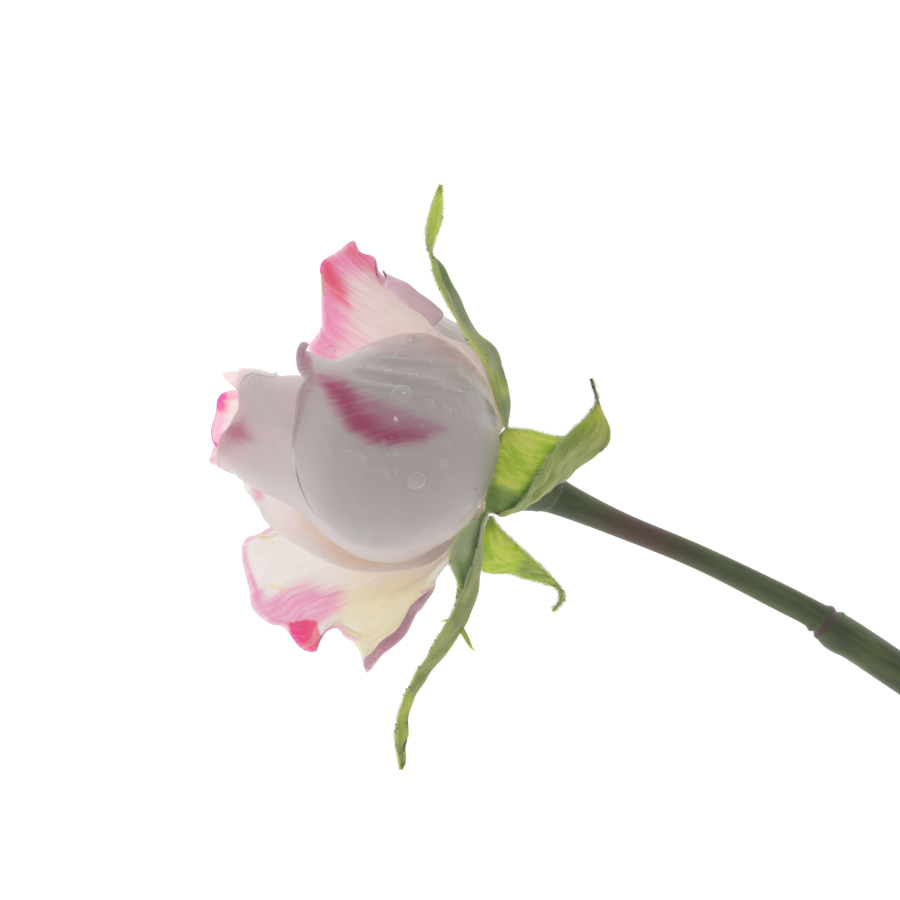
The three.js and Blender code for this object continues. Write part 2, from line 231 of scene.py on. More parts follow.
def lip(grid, edge, length, radius, direction=1, rows=18):
    """Grow extra petal past an edge, curled round a pin: outward, or inward with direction -1.

    length and radius are in mm, one number each or one for each line that meets the edge.
    """
    lines = turned(grid, edge)
    normals = turned(facing(grid), edge)[:, -1]
    lengths = np.maximum(np.broadcast_to(length, len(lines)), 0.08)[:, None]
    radii = np.broadcast_to(radius, len(lines))[:, None]
    tangent = lines[:, -1] - lines[:, -3]
    tangent /= np.linalg.norm(tangent, axis=1, keepdims=True)
    bend = normals - np.sum(normals * tangent, 1, keepdims=True) * tangent
    bend *= direction / np.linalg.norm(bend, axis=1, keepdims=True)
    t = lengths / radii * np.linspace(0, 1, rows + 1)[1:]
    tightened = radii * (1 - 0.07 * t)
    ahead = (tightened * np.sin(t))[..., None] * tangent[:, None]
    aside = (radii - tightened * np.cos(t))[..., None] * bend[:, None]
    return returned(np.concatenate([lines, lines[:, -1:] + ahead + aside], 1), edge)


def grab(grid, *spots):
    """Pull places sideways with a soft reach, each spot as (x, y, dx, dy, dz, reach)."""
    for x, y, dx, dy, dz, reach in spots:
        off = np.linalg.norm(grid[..., :2] - (x, y), axis=-1)
        grid = grid + np.exp(-(off / reach) ** 2)[..., None] * np.array([dx, dy, dz])
    return grid


def frill(grid, seed, size, height, depth):
    """Waves that grow toward the free margins."""
    side, length = spans(grid)
    return push(grid, height * wander(seed, size, side, length) * np.exp(-to_margin(grid) / depth))


def crease(grid, start, end, width, height):
    """How far a straight fold between two places on the surface below lifts each point."""
    a, b = np.array(start, float), np.array(end, float)
    flat = grid[..., :2] - a
    reach = np.clip(flat @ (b - a) / ((b - a) @ (b - a)), 0, 1)
    off = np.linalg.norm(flat - reach[..., None] * (b - a), axis=-1)
    return height * np.exp(-(off / width) ** 2) * np.sin(np.pi * (0.06 + 0.88 * reach))


# %% [markdown]
# ## From a grid to a closed sheet
#
# A single layer of faces has no inside, so light could not soak through it. Each sheet gets two
# skins and a rim, thinner toward its margins. Beside its points it carries what its finish needs:
# where on the petal it is, which skin, and painted masks.

# %% Closed sheets
def enclosed(points, faces):
    """Signed volume inside closed faces."""
    a, b, c = (points[faces[:, k]] for k in range(3))
    volume = np.sum(a * np.cross(b, c))
    if faces.shape[1] == 4:
        d = points[faces[:, 3]]
        volume += np.sum(a * np.cross(c, d))
    return volume / 6


def halved(quads):
    """Two triangles from each four-sided face."""
    return np.concatenate([quads[:, [0, 1, 2]], quads[:, [0, 2, 3]]])


def piece(name, points, faces, material, attributes=None, node=None):
    """One closed mesh that rides with the flower, with its finish and its solid's name."""
    points = np.asarray(points)
    faces = np.asarray(faces) if enclosed(points, faces) > 0 else np.asarray(faces)[:, ::-1]
    mesh = bpy.data.meshes.new(name)
    mesh.from_pydata(((points - PART_ORIGIN) * MM).tolist(), [], faces.tolist())
    for key, values in (attributes or {}).items():
        layer = mesh.attributes.new(key, "FLOAT_VECTOR", "POINT")
        layer.data.foreach_set("vector", values.astype(np.float32).ravel())
    mesh.polygons.foreach_set("use_smooth", [True] * len(mesh.polygons))
    mesh.materials.append(material)
    made = bpy.data.objects.new(name, mesh)
    bpy.context.scene.collection.objects.link(made)
    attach(made, "root")
    if node:
        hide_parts(node)
    print(f"{name}: {len(mesh.vertices)} points, {len(mesh.polygons)} faces")
    return made


def sheet(grid, thickness, edge=0.4, taper=1.2):
    """Points and faces of a closed sheet over a grid, two skins and a rim."""
    columns, rows = grid.shape[:2]
    thin = edge + (1 - edge) * smooth(0, taper, to_margin(grid))
    half = 0.5 * thickness * thin[..., None] * facing(grid)
    points = np.concatenate([(grid + half).reshape(-1, 3), (grid - half).reshape(-1, 3)])
    index = np.arange(columns * rows).reshape(columns, rows)
    a, b, c, d = index[:-1, :-1], index[1:, :-1], index[1:, 1:], index[:-1, 1:]
    front = np.stack([a, b, c, d], -1).reshape(-1, 4)
    back = front[:, ::-1] + columns * rows
    loop = np.concatenate([index[:-1, 0], index[-1, :-1], index[:0:-1, -1], index[0, :0:-1]])
    after = np.roll(loop, -1)
    rim = np.stack([loop, loop + columns * rows, after + columns * rows, after], -1)
    return points, np.concatenate([front, back, rim])


petal_count = 0


def petal(node, grid, material, pink=0, crimson=0, yellow=0, wet=0, brown_and_shade=0, dull=0, vivid=0,
          thickness=0.3):
    """A petal over a worked grid, with its painted masks.

    dull colours the inner skin like the outer one, vivid the outer skin like the inner one.
    The dark spot mask holds real blemishes and, on the top petal's rolled margin, painted shade.
    """
    global petal_count
    petal_count += 1
    points, faces = sheet(grid, thickness)
    side, length = spans(grid)
    shape = grid.shape[:2]
    full = lambda *masks: np.stack([np.broadcast_to(m, shape) for m in masks], -1).reshape(-1, 3)
    twice = lambda values: np.tile(values, (2, 1))
    skin = twice(full(0, wet, brown_and_shade))
    skin[:, 0] = np.concatenate([full(1 - vivid, 0, 0), full(dull, 0, 0)])[:, 0]
    attributes = {
        "lay": twice(full(side - side[-1:] / 2 + 100 * petal_count, length, to_margin(grid))),
        "paint": twice(full(pink, crimson, yellow)),
        "skin": skin,
    }
    return piece("rose_" + node, points, faces, material, attributes, node)


# %% [markdown]
# ## Writing shaders as sums
#
# A node tree is arithmetic, and it reads better written as arithmetic. One small class stands for a
# socket and turns each operator into a Math node. Every other node comes from one method, which
# sets the node's settings first and its sockets after.

# %% Sockets that add and multiply
class Flow:
    """The output of a node, used in expressions."""

    def __init__(self, finish, socket):
        self.finish = finish
        self.socket = socket

    def math(self, operation, *others):
        return self.finish.node("Math", {"operation": operation}, [self, *others])

    def __add__(self, other):
        return self.math("ADD", other)

    def __sub__(self, other):
        return self.math("SUBTRACT", other)

    def __mul__(self, other):
        return self.math("MULTIPLY", other)

    def __truediv__(self, other):
        return self.math("DIVIDE", other)

    def __pow__(self, other):
        return self.math("POWER", other)

    def __rsub__(self, other):
        return self.finish.node("Math", {"operation": "SUBTRACT"}, [other, self])

    def __rtruediv__(self, other):
        return self.finish.node("Math", {"operation": "DIVIDE"}, [other, self])

    __radd__ = __add__
    __rmul__ = __mul__

    def max(self, other):
        return self.math("MAXIMUM", other)

    def min(self, other):
        return self.math("MINIMUM", other)

    def step(self, low, high):
        """0 below low, 1 above high, eased between."""
        settings = {"interpolation_type": "SMOOTHSTEP"}
        return self.finish.node("MapRange", settings, {"Value": self, "From Min": low, "From Max": high})

    def parts(self):
        """The three numbers of a vector."""
        split = self.finish.node("SeparateXYZ", {}, [self]).socket.node
        return [Flow(self.finish, output) for output in split.outputs]


class Finish:
    """A material under construction."""

    def __init__(self, name):
        self.material = bpy.data.materials.new(name)
        self.material.use_nodes = True
        self.tree = self.material.node_tree
        self.tree.nodes.clear()

    def node(self, kind, settings=None, inputs=(), output=0):
        made = self.tree.nodes.new("ShaderNode" + kind)
        for key, value in (settings or {}).items():
            setattr(made, key, value)
        pairs = inputs.items() if isinstance(inputs, dict) else enumerate(inputs)
        for key, value in pairs:
            if isinstance(value, Flow):
                self.tree.links.new(value.socket, made.inputs[key])
            elif value is not None:
                made.inputs[key].default_value = value
        return Flow(self, made.outputs[output]) if made.outputs else made

    def attribute(self, name):
        settings = {"attribute_name": name, "attribute_type": "GEOMETRY"}
        return self.node("Attribute", settings, output="Vector")

    def mix(self, factor, a, b, mode="MIX"):
        """Mix two colours."""
        a, b = (c if isinstance(c, Flow) else (*c, 1) for c in (a, b))
        settings = {"data_type": "RGBA", "blend_type": mode, "clamp_factor": True}
        return self.node("Mix", settings, {0: factor, 6: a, 7: b}, 2)

    def stretched(self, x, y, z, scale, detail=3, roughness=0.5):
        """Noise over three values, each already scaled as the pattern needs."""
        at = self.node("CombineXYZ", {}, [x, y, z])
        inputs = {"Vector": at, "Scale": scale, "Detail": detail, "Roughness": roughness}
        return self.node("TexNoise", {}, inputs)

    def surface(self, shader):
        self.node("OutputMaterial", {}, [shader])
        return self.material


# %% [markdown]
# ## Petal skin
#
# A rose petal is a thin sac of pale cells. Light soaks in on one side and comes out on the other,
# softened and warmer, so a petal before a bright ground glows while a bud's many layers stay grey.
# Subsurface scattering through a closed sheet does exactly this. Pigment sits in streaks that run
# from base to margin, vivid on the inner skin and dulled to mauve on the outer one. The streaks are
# noise drawn long by the petal's own coordinates, and they break up the edges of the painted masks.
# Petals at the bud's tip, beneath it and behind it pass on more light than one scattering layer can,
# so their three finishes also give off a little light themselves.

# %% Petal finish
def petal_finish(name, pale, outer_pale, depth, radius, light=0.0):
    """Petal skin of two pale colours, soaked by light to a depth, with a little light of its own."""
    f = Finish(name)
    across, length, _ = f.attribute("lay").parts()
    pink, crimson, yellow = f.attribute("paint").parts()
    outer, wet, brown_and_shade = f.attribute("skin").parts()
    veins = f.stretched(across * 1.5, length * 0.1, 0.0, 1.0, 4, 0.6)
    fine = f.stretched(across * 5.0, length * 0.5, 3.0, 1.0, 2)
    cloud = f.stretched(across * 0.22, length * 0.16, 9.0, 1.0, 3)
    ragged = (veins - 0.5) * 0.5 + (cloud - 0.5) * 0.5
    streaked = 0.72 + veins * 0.56
    blush = pink * streaked + ragged * (pink * 3).min(1) + (fine - 0.5) * 0.12
    blush = blush.step(0.0, 1.15)
    deep = (crimson * streaked + ragged * (crimson * 3).min(1)).step(0.05, 1.1)
    gold = (yellow + ragged * (yellow * 4).min(1)).step(0.1, 0.95)
    # Dark spots: real blemishes, and painted shade on the top petal's rolled margin.
    spot = (brown_and_shade + ragged * brown_and_shade).step(0.35, 0.7)
    warmer = tuple(c * k for c, k in zip(pale, (1, 0.93, 0.9)))
    inside = f.mix(cloud.step(0.35, 0.75) * 0.5, pale, warmer)
    inside = f.mix(gold, inside, (0.95, 0.72, 0.42))
    inside = f.mix(blush, inside, (0.97, 0.17, 0.40))
    inside = f.mix(deep, inside, (0.84, 0.01, 0.10))
    outside = f.mix(cloud.step(0.35, 0.8) * 0.5, outer_pale, tuple(c * 0.95 for c in outer_pale))
    outside = f.mix(gold, outside, (0.80, 0.74, 0.52))
    outside = f.mix(blush, outside, (0.70, 0.34, 0.47))
    outside = f.mix(deep, outside, (0.58, 0.10, 0.22))
    colour = f.mix(outer, inside, outside)
    colour = f.mix((veins - 0.5).step(0.02, 0.3) * 0.10, colour, (0.75, 0.55, 0.55))
    colour = f.mix(spot, colour, (0.30, 0.17, 0.07))
    height = veins * 0.5 + fine * 0.3 + cloud * 0.4
    bump = f.node("Bump", {}, {"Strength": 0.35, "Distance": 0.00006, "Height": height})
    shader = f.node("BsdfPrincipled", {}, {
        "Base Color": colour,
        "Roughness": 0.5 - wet * 0.25 + (fine - 0.5) * 0.1,
        "Specular IOR Level": 0.35,
        "Subsurface Weight": 1.0,
        "Subsurface Radius": radius,
        "Subsurface Scale": depth,
        "Sheen Weight": 0.08,
        "Emission Color": colour,
        "Emission Strength": light,
        "Coat Weight": wet,
        "Coat Roughness": 0.08,
        "Coat IOR": 1.33,
        "Normal": bump,
    })
    return f.surface(shader)


SOLID = (0.75, 0.9, 0.88)
GLOWING = (1.15, 0.9, 0.85)
petal_outer = petal_finish("petal_outer_skin", (0.96, 0.87, 0.85), (0.97, 0.855, 0.835), 0.0018, SOLID)
petal_glow = petal_finish("petal_outer_lit", (0.99, 0.90, 0.86), (0.98, 0.89, 0.86), 0.005, GLOWING, 0.06)
petal_near = petal_finish("petal_near_tip_skin", (0.98, 0.88, 0.86), (0.98, 0.86, 0.84), 0.0018, SOLID, 0.045)
petal_pink = petal_finish("petal_open_pink", (0.99, 0.80, 0.71), (0.92, 0.86, 0.77), 0.0022, GLOWING)
petal_cream = petal_finish("petal_cream", (0.98, 0.90, 0.85), (0.95, 0.89, 0.84), 0.0024, GLOWING)
petal_tip = petal_finish("petal_inner_lit", (0.99, 0.90, 0.87), (0.98, 0.89, 0.87), 0.0038, GLOWING, 0.13)
print("petal finishes:", petal_outer.name, petal_glow.name, petal_near.name, petal_pink.name,
      petal_cream.name, petal_tip.name)

# %% [markdown]
# ## The great front petal
#
# This petal closes the ball and takes most of the light. Its tip margin rolls outward in a narrow
# lip, its shoulder is wrinkled where it dried, and a stroke of deep pink runs from the tip down its
# middle. The lip is extra petal curled past the far edge, and the wrinkles are pressed creases.

# %% Petal at the front
ribs = cup(80, [
    [0.3, 6.9, 34, 38], [1.6, 10.2, 50, 46], [4.2, 13.7, 64, 52], [9.3, 17.0, 76, 62],
    [15, 18.4, 76, 68], [21, 17.4, 60, 69], [26.5, 14.9, 48, 62], [31.2, 12.9, 47, 52],
], lift=0.6, ribs=9)
grid = place(loft(ribs, 141, 161, (0.02, 0.17), 3.2))
grid = grab(grid, (-21.2, 13.4, -1.5, 2.3, 0.4, 1.9), (-21.4, 10.3, 1.1, 0, 0.3, 1.5))
u = np.linspace(-1, 1, len(grid))
pin = 0.3 + 0.75 * smooth(0.3, -0.7, u)
lip_length = pin * (0.8 + 3.0 * smooth(0.75, 0.1, u))
grid = lip(grid, "far", lip_length, pin)
side, length = spans(grid)
WRINKLES = [
    [(-14.5, 12.5), (1.5, 9.8), 0.45, 0.42], [(-12.5, 14.2), (3.5, 12.6), 0.5, 0.35],
    [(-9.5, 11.2), (4.5, 8.2), 0.4, 0.3], [(-15.5, 10.6), (-3.5, 8.2), 0.35, 0.3],
    [(-10.5, 15.9), (0.5, 15.2), 0.6, 0.25], [(-19, 2.5), (-17.3, -3), 0.5, 0.2],
    [(-16.4, 0.5), (-11.5, -1.4), 0.5, 0.16],
]
lift = sum(crease(grid, *wrinkle) for wrinkle in WRINKLES)
grid = push(grid, lift + 0.12 * wander(3, 7, side, length) + 0.012 * wander(4, 1.6, side * 2, length))
blotch = stroke(grid, [
    (-20.2, 11.2, 0.6), (-17.2, 9.2, 2.0), (-13.6, 5.6, 3.3), (-9.3, 3.6, 3.2), (-4.8, 3.0, 2.2),
    (-1.2, 3.2, 0.6)], 2.0)
core = stroke(grid, [
    (-19.6, 10.6, 0.3), (-16.6, 8.8, 1.4), (-14.6, 5.2, 1.8), (-11.8, 2.9, 1.8), (-8.2, 2.1, 1.4),
    (-4.0, 2.2, 0.2)], 2.0)
near_lip = smooth(1.3, 1.0, (length[:, -1:] - length) / lip_length[:, None])
near_lip = near_lip * smooth(0.8, 0.3, u)[:, None]
mauve = (0.5 + 0.4 * smooth(-0.5, -1, u))[:, None] * near_lip
wet = patch(grid, [(-19, 14), (-12, 17.5), (0, 17), (7, 11), (5.5, 4), (-2, 7), (-13, 8.5)], 2.0)
scuffs = patch(grid, [(2.8, -5.2), (4.2, -5.4), (4.4, -6.6), (3.2, -6.4)], 0.5)
scuffs = scuffs + patch(grid, [(-1.0, -0.2), (-0.6, -0.4), (-0.7, -1.8), (-1.1, -1.6)], 0.25)
scuffs = scuffs + patch(grid, [(-1.5, -10.7), (-1.1, -10.7), (-1.1, -11.5), (-1.5, -11.4)], 0.25)
petal("petal_front", grid, petal_outer, pink=np.maximum(blotch, mauve),
      crimson=0.9 * core, dull=near_lip, wet=0.15 + 0.8 * wet, brown_and_shade=0.5 * scuffs)
front_grid = grid

# %% [markdown]
# ## The petal beneath it
#
# The next petal wraps the whole bud and reaches past the front one to the tip. Its margin is cut
# slantwise where it tore, so a few places are pulled in after the loft.

# %% Petal under the front one
ribs = cup(104, [
    [0.9, 6.2, 34, 36], [3, 9.2, 50, 60], [6.4, 13.2, 60, 76], [12, 16.7, 66, 82],
    [18, 17.3, 70, 84], [24, 15.0, 70, 82], [30, 10.9, 72, 80], [36, 9.2, 76, 78],
    [42.4, 7.8, 76, 74],
], ribs=9)
grid = place(loft(ribs, 141, 141, (0.14, 0.03), 5))
grid = grab(grid, (-34.4, 6.2, 2.4, 0, 0, 3.2), (-30.4, 10.2, -0.6, 1.5, 0, 2.4),
            (-34.6, -4.0, 0.5, 0.9, 0, 2.6), (-24, 11, 0, 0.5, 0, 3))
u = np.linspace(-1, 1, len(grid))
grid = lip(grid, "far", 0.5 + 0.5 * smooth(0.2, -0.5, u), 0.5)
side, length = spans(grid)
fold = crease(grid, (-30.6, 11.0), (-23.2, -0.5), 1.5, 0.35)
fold = fold + crease(grid, (-34.5, 5.5), (-33.2, 1.5), 1.0, 0.3)
grid = push(grid, fold + 0.16 * wander(13, 8, side, length) + 0.012 * wander(14, 1.8, side * 2, length))
blush = patch(grid, [(-35.4, 3.4), (-31.5, 4.8), (-30.2, 1.6), (-33.8, 1.0)], 2.2)
blush = blush + 0.12 * smooth(12, 4, length[:, -1:] - length)
petal("petal_under", grid, petal_near, pink=blush, crimson=0.3 * blush,
      wet=0.15 + 0.6 * smooth(4, 1, to_margin(grid)),
      brown_and_shade=0.5 * patch(grid, [(-33.4, 4.6), (-33.1, 4.5), (-34.0, 2.0), (-34.3, 2.2)], 0.25))
under_grid = grid

# %% [markdown]
# ## The petal opened at the top
#
# This one stands away from the bud and is lit from behind, so its inner skin shows vivid pink that
# runs down in streaks to a peach base. Its near margin has rolled inward like a scroll, and on the
# scroll the outer skin shows as mauve.

# %% Petal opened at the top
ribs = opened([
    [[18, 0.4, 7.3], [21, 2.8, 13.7], [24, 8, 19], [24, 14.4, 21.8], [20, 19.5, 24], [14, 23.4, 26.3]],
    [[10, 0.4, 7.3], [12, 3, 14.3], [14, 8, 19.8], [14, 14.5, 22], [11, 20.5, 25], [4.5, 25.5, 29.2]],
    [[0, 0.3, 7.3], [0, 3, 14.7], [0, 8, 20], [-1, 15, 21.9], [-3, 22, 25.6], [-8, 29, 30.2]],
    [[-15, 0.3, 7.3], [-18, 3, 14.8], [-20, 8, 20], [-20, 15, 21.9], [-20, 23, 25], [-20, 31.3, 28.4]],
    [[-28, 0.3, 7.3], [-35, 3, 14.6], [-38, 8, 19.6], [-38, 15, 21.4], [-36, 23, 23.4], [-31, 32, 28]],
    [[-38, 0.3, 7.3], [-52, 3, 14.2], [-56, 8, 18.9], [-55, 15, 20.6], [-51, 23, 21.9], [-41, 31.4, 24.7]],
    [[-46, 0.3, 7.3], [-68, 3, 13.6], [-74, 8, 18.3], [-73, 15, 19.9], [-66, 22.5, 20.6], [-56, 30.4, 21.8]],
])
ROWS, LIP_ROWS = 141, 8
grid = place(loft(ribs, 141, ROWS, (0.04, 0.04)))
grid = grab(grid, (-19.5, 28.6, -0.9, 1.2, 0, 2.2), (-19.4, 16.2, -2.4, -0.3, 0, 1.9),
            (-10.8, 27.6, -0.5, -0.5, 0, 1.8), (-15.2, 31.6, 0, 0.3, 0, 2.0), (-4.0, 21.3, 0.2, 0.5, 0, 3))
grid = frill(grid, 21, 4.5, 0.55, 2.5)
w = np.linspace(0, 1, ROWS)
scroll = smooth(0.575, 0.6, w) * (4.4 + 0.5 * wander(22, 0.1, w))
grid = lip(grid, "low", scroll, 1.35 + 0.15 * smooth(0.6, 0.9, w), 1, 26)
grid = lip(grid, "far", 0.2, 0.4, -1, LIP_ROWS)
side, length = spans(grid)
grid = push(grid, 0.10 * wander(23, 5, side, length) + 0.04 * wander(24, 1.4, side * 2, length * 0.4))
to_far = length[:, -1:] - length
past = np.linspace(0, (ROWS + LIP_ROWS) / ROWS, ROWS + LIP_ROWS)
in_scroll = smooth(5.2, 4.3, side) * smooth(0.57, 0.6, past)
pink = 0.45 * smooth(7, 0.3, to_far) + 0.3 * smooth(13, 3, to_far) + 0.35 * smooth(24, 8, to_far)
pink = pink * smooth(8, 16, length) * (1 - in_scroll) + 0.8 * in_scroll
deep = 0.95 * stroke(grid, [(-19.2, 28.2, 1.6), (-17.0, 24.4, 1.2), (-15.8, 22.6, 0.4)], 1.8)
deep = deep + 0.75 * stroke(grid, [(-15.4, 31.0, 1.2), (-12.8, 28.8, 1.2), (-10.6, 26.6, 0.8)], 1.8)
deep = deep + 0.35 * smooth(0.9, 0.1, to_far)
# Painted shade: a dark strip on the left margin where it rolls under and lies in shade, put in the blemish
# mask.
curl_shade = patch(grid, [(-20.2, 27.6), (-18.6, 27.6), (-18.6, 23.8), (-20.2, 23.8)], 0.5)
curl_shade = curl_shade * smooth(1.2, 0.6, to_margin(grid))
torn = patch(grid, [(-3.8, 20.6), (-1.6, 21.2), (-1.2, 18.2), (-3.0, 18.2)], 0.5)
torn = in_scroll * smooth(1, 0.2, side) * torn
gold = 0.8 * patch(grid, [(-17.4, 29.2), (-16.6, 29), (-15.4, 26.4), (-16.2, 26.3)], 0.5)
gold = gold + 0.5 * smooth(9, 3, length)
petal("petal_top", grid, petal_pink, pink=np.minimum(pink, 1),
      crimson=np.minimum(deep, 1), yellow=gold, dull=in_scroll, wet=0.5 * in_scroll,
      brown_and_shade=0.8 * curl_shade + 0.7 * torn)
top_grid = grid

# %% [markdown]
# ## The petal opened at the bottom
#
# Cream with a golden base, it is frayed at the far margin: one fold has turned crimson, the corner
# beside it is nicked, and the near margin is rolled in a wavy mauve cord.

# %% Petal opened at the bottom
ribs = opened([
    [[158, 0.4, 7.3], [161, 2.6, 10.2], [169, 5.2, 15.6], [177, 7.2, 21.8], [184, 9.9, 28.6],
     [188, 14.4, 34.6]],
    [[172, 0.4, 7.3], [176, 3.2, 12], [180, 7.2, 18], [185, 11, 23.5], [190, 14.5, 28.8],
     [192.5, 19.2, 31.4]],
    [[184, 0.3, 7.3], [188, 3.4, 13], [191, 8.5, 19], [194, 14, 24], [197, 19, 29], [199, 24.8, 34.3]],
    [[196, 0.3, 7.3], [200, 3.5, 13.5], [203, 9, 19], [205, 16, 23.5], [205, 23, 28], [205, 30.3, 32.6]],
    [[208, 0.3, 7.3], [213, 3.5, 13.6], [217, 9, 18.8], [217, 16.5, 22.4], [216, 25, 26], [213, 34, 29.8]],
    [[220, 0.3, 7.3], [227, 3.3, 13.4], [231, 9, 18.4], [231, 16, 21.2], [229, 25, 23.4], [221, 36.4, 26]],
    [[230, 0.3, 7.3], [240, 3, 13], [246, 8.5, 17.6], [246, 15, 19.9], [243, 23, 21.6], [232, 33, 24.4]],
])
grid = place(loft(ribs, 141, 141, (0, 0.04)))
grid = grab(grid, (-31.2, -14.6, -1.0, 0.9, 0, 2.4), (-30.2, -24.6, -0.9, -0.3, 0, 2.6),
            (-25.8, -28.8, 0.2, 1.3, 0, 1.9), (-22.8, -30.4, 0, -0.7, 0, 1.8), (-17.2, -29.2, 0, 1.9, 0, 2.0),
            (-15.2, -31.0, 0.6, 1.2, 0, 1.8))
grid = frill(grid, 31, 4.0, 0.7, 3.0)
w = np.linspace(0, 1, grid.shape[1])
cord = smooth(0.5, 0.6, w) * (3.3 + 0.6 * wander(32, 0.06, w)) * smooth(1.04, 0.9, w)
grid = lip(grid, "low", cord, 0.95 + 0.15 * wander(33, 0.08, w), -1, 24)
side, length = spans(grid)
grid = push(grid, 0.12 * wander(34, 5, side, length) + 0.04 * wander(35, 1.3, side * 2, length * 0.4))
to_far = length[:, -1:] - length
in_cord = smooth(3.9, 3.1, side) * smooth(0.5, 0.56, w)
pink = 0.9 * patch(grid, [
    (-33, -16), (-31.6, -20), (-28, -22.2), (-22, -20.6), (-16.5, -21.4), (-16.8, -25), (-20, -28),
    (-25, -32), (-33, -28)], 2.4) + 0.9 * smooth(1.8, 0.3, to_far)
pink = np.minimum(pink, 1) * smooth(-13.5, -15.5, grid[..., 0])
flap = patch(grid, [
    (-25.2, -26.9), (-22.4, -26.3), (-20.6, -26.6), (-20, -28.4), (-18.8, -30.2), (-20.6, -31.6),
    (-24, -31.8), (-25, -29)], 0.3)
gold = smooth(-24, -6, grid[..., 0]) * smooth(-15, -25, grid[..., 1])
gold = gold + 0.5 * smooth(14, 5, length) + 0.25
gold = gold + 0.8 * patch(grid, [(-31, -13.2), (-30.4, -12.9), (-27.4, -14.2), (-27.7, -14.8)], 0.4)
gold = gold + 0.8 * patch(grid, [(-28.5, -21.2), (-28, -20.8), (-25, -21.6), (-25.4, -22.4)], 0.4)
frayed = patch(grid, [(-26, -27), (-18, -29), (-18, -33), (-26, -33)], 0.5)
petal("petal_low", grid, petal_cream, pink=np.maximum(pink, in_cord), dull=in_cord,
      crimson=np.maximum(flap, 0.3 * in_cord), yellow=np.minimum(gold, 1),
      wet=0.5 * in_cord, brown_and_shade=0.7 * smooth(0.25, 0.05, to_far) * frayed)
low_grid = grid

# %% [markdown]
# ## The petals behind
#
# One petal closes the flower's back and one cradles the bud from below. A band of the cradle shows
# under the ball; the yellow and pink on it are painted light for the light that passes it, and it
# carries the finish that glows.

# %% Petals behind
ribs = cup(290, [
    [1.2, 6.3, 34, 30], [4, 11.6, 38, 40], [8.4, 16.6, 38, 44], [15, 18.9, 38, 42],
    [22, 19.0, 36, 31], [28, 17.6, 32, 22], [33, 15.2, 26, 14],
], lean=-0.6)
grid = place(loft(ribs, 65, 81, (0.15, 0.1), 3.5))
petal("petal_back", grid, petal_glow, pink=0.5 * smooth(2.5, 0.3, to_margin(grid)))
ribs = cup(218, [
    [1, 6.3, 30, 30], [3.2, 9.9, 30, 34], [7, 15.2, 32, 38], [12, 17.5, 34, 40],
    [18, 18.7, 41, 41], [22, 18.4, 41, 40], [27, 16.7, 41, 38], [33, 13.6, 40, 34],
    [37.9, 9.6, 38, 30],
], lean=-0.6)
grid = place(loft(ribs, 81, 101, (0.06, 0.12)))
grid = grab(grid, (-30.8, -7.7, 1.1, 0, 0, 2.8))
grid = lip(grid, "far", 0.6, 0.5)
# Painted light: yellow and pink on the band under the ball stand for light passing through the cradle.
painted_glow_band = patch(grid, [(-24, -9.5), (-21, -10), (-10, -16), (-11, -18.5), (-17, -18), (-23, -13)], 1.6)
petal("petal_cradle", grid, petal_glow, yellow=0.8 * painted_glow_band, vivid=painted_glow_band,
      pink=np.maximum(0.3 * painted_glow_band, patch(grid, [(-31.6, -4), (-30, -4), (-28.6, -7.4), (-30, -8.4)], 0.8)))

# %% [markdown]
# ## The whorls inside
#
# Seventeen smaller petals fill the bud. Only a few tips show, curled outward and crimson where they
# meet the light, but the layers behind count too: they are what turns the ball grey. The petals
# whose tips show are made finer than the rest.

# %% Inner whorls
WHORLS = [
    ("petal_mid", 176, 0.72, 0.12, [0.4, -2.4, -1.8, 0], [
        [1.6, 5.4, 28], [3.8, 8, 42], [7, 12, 55], [12.3, 15.2, 62], [18, 15.9, 62],
        [24, 13.4, 59], [30, 9.5, 57], [36, 8, 54], [41.5, 6.9, 52]]),
    ("petal_inner", 84, 0.66, 0.1, [0.1, -1, -3.0, -2.4, 0.2], [
        [2.8, 4.5, 28], [5.2, 7, 42], [8.4, 10.6, 55], [13, 13.4, 62], [18, 14, 62],
        [24, 11.5, 59], [30, 7.85, 57], [36, 6.4, 55], [43.6, 5.65, 54]]),
    ("petal_heart", 120, 0.6, 0.1, [0, 0, 0, 0, 0], [
        [4, 3.6, 28], [6.6, 5.9, 42], [9.6, 9, 55], [13.6, 11.3, 62], [18, 12, 62],
        [24, 9.7, 59], [30, 6.25, 57], [35, 5, 55], [40, 4.5, 54]]),
]
CORE_PROFILE = [
    [5.4, 2.4, 40], [8.4, 5, 66], [13.4, 8.2, 80], [20, 8.2, 84], [27, 5.2, 80], [32, 3.7, 78],
    [37.5, 3.1, 74]]
PULLED_TIPS = {
    "petal_inner_5": [(-33.5, 9.6, 0.3, 2.2, 0, 4.5)],
    "petal_mid_4": [(-31.6, 9.9, 0.3, 2.0, 0, 5)],
    "petal_inner_1": [(-36.4, 5.2, 0.9, 0, 0, 3)],
}
FLARES = {"petal_inner_1": 1.9, "petal_inner_2": 1.4, "petal_heart_1": 1.2}
PIGMENT = {"petal_inner_1": (1.5, 1.5), "petal_inner_2": (0.9, 0.7), "petal_mid_1": (0.7, 0.3)}
SEEN = {*PULLED_TIPS, *FLARES, *PIGMENT}
FINE, COARSE = (57, 81), (41, 57)
inner_petals = [
    (f"{name}_{k + 1}", azimuth + 72 * k, lean, shoulder,
     [[h + extra * (i / (len(profile) - 1)) ** 3, r, s] for i, (h, r, s) in enumerate(profile)])
    for name, azimuth, lean, shoulder, taller, profile in WHORLS for k, extra in enumerate(taller)]
inner_petals += [(f"petal_core_{k + 1}", 60 + 120 * k, 0.5, 0.1, CORE_PROFILE) for k in range(3)]
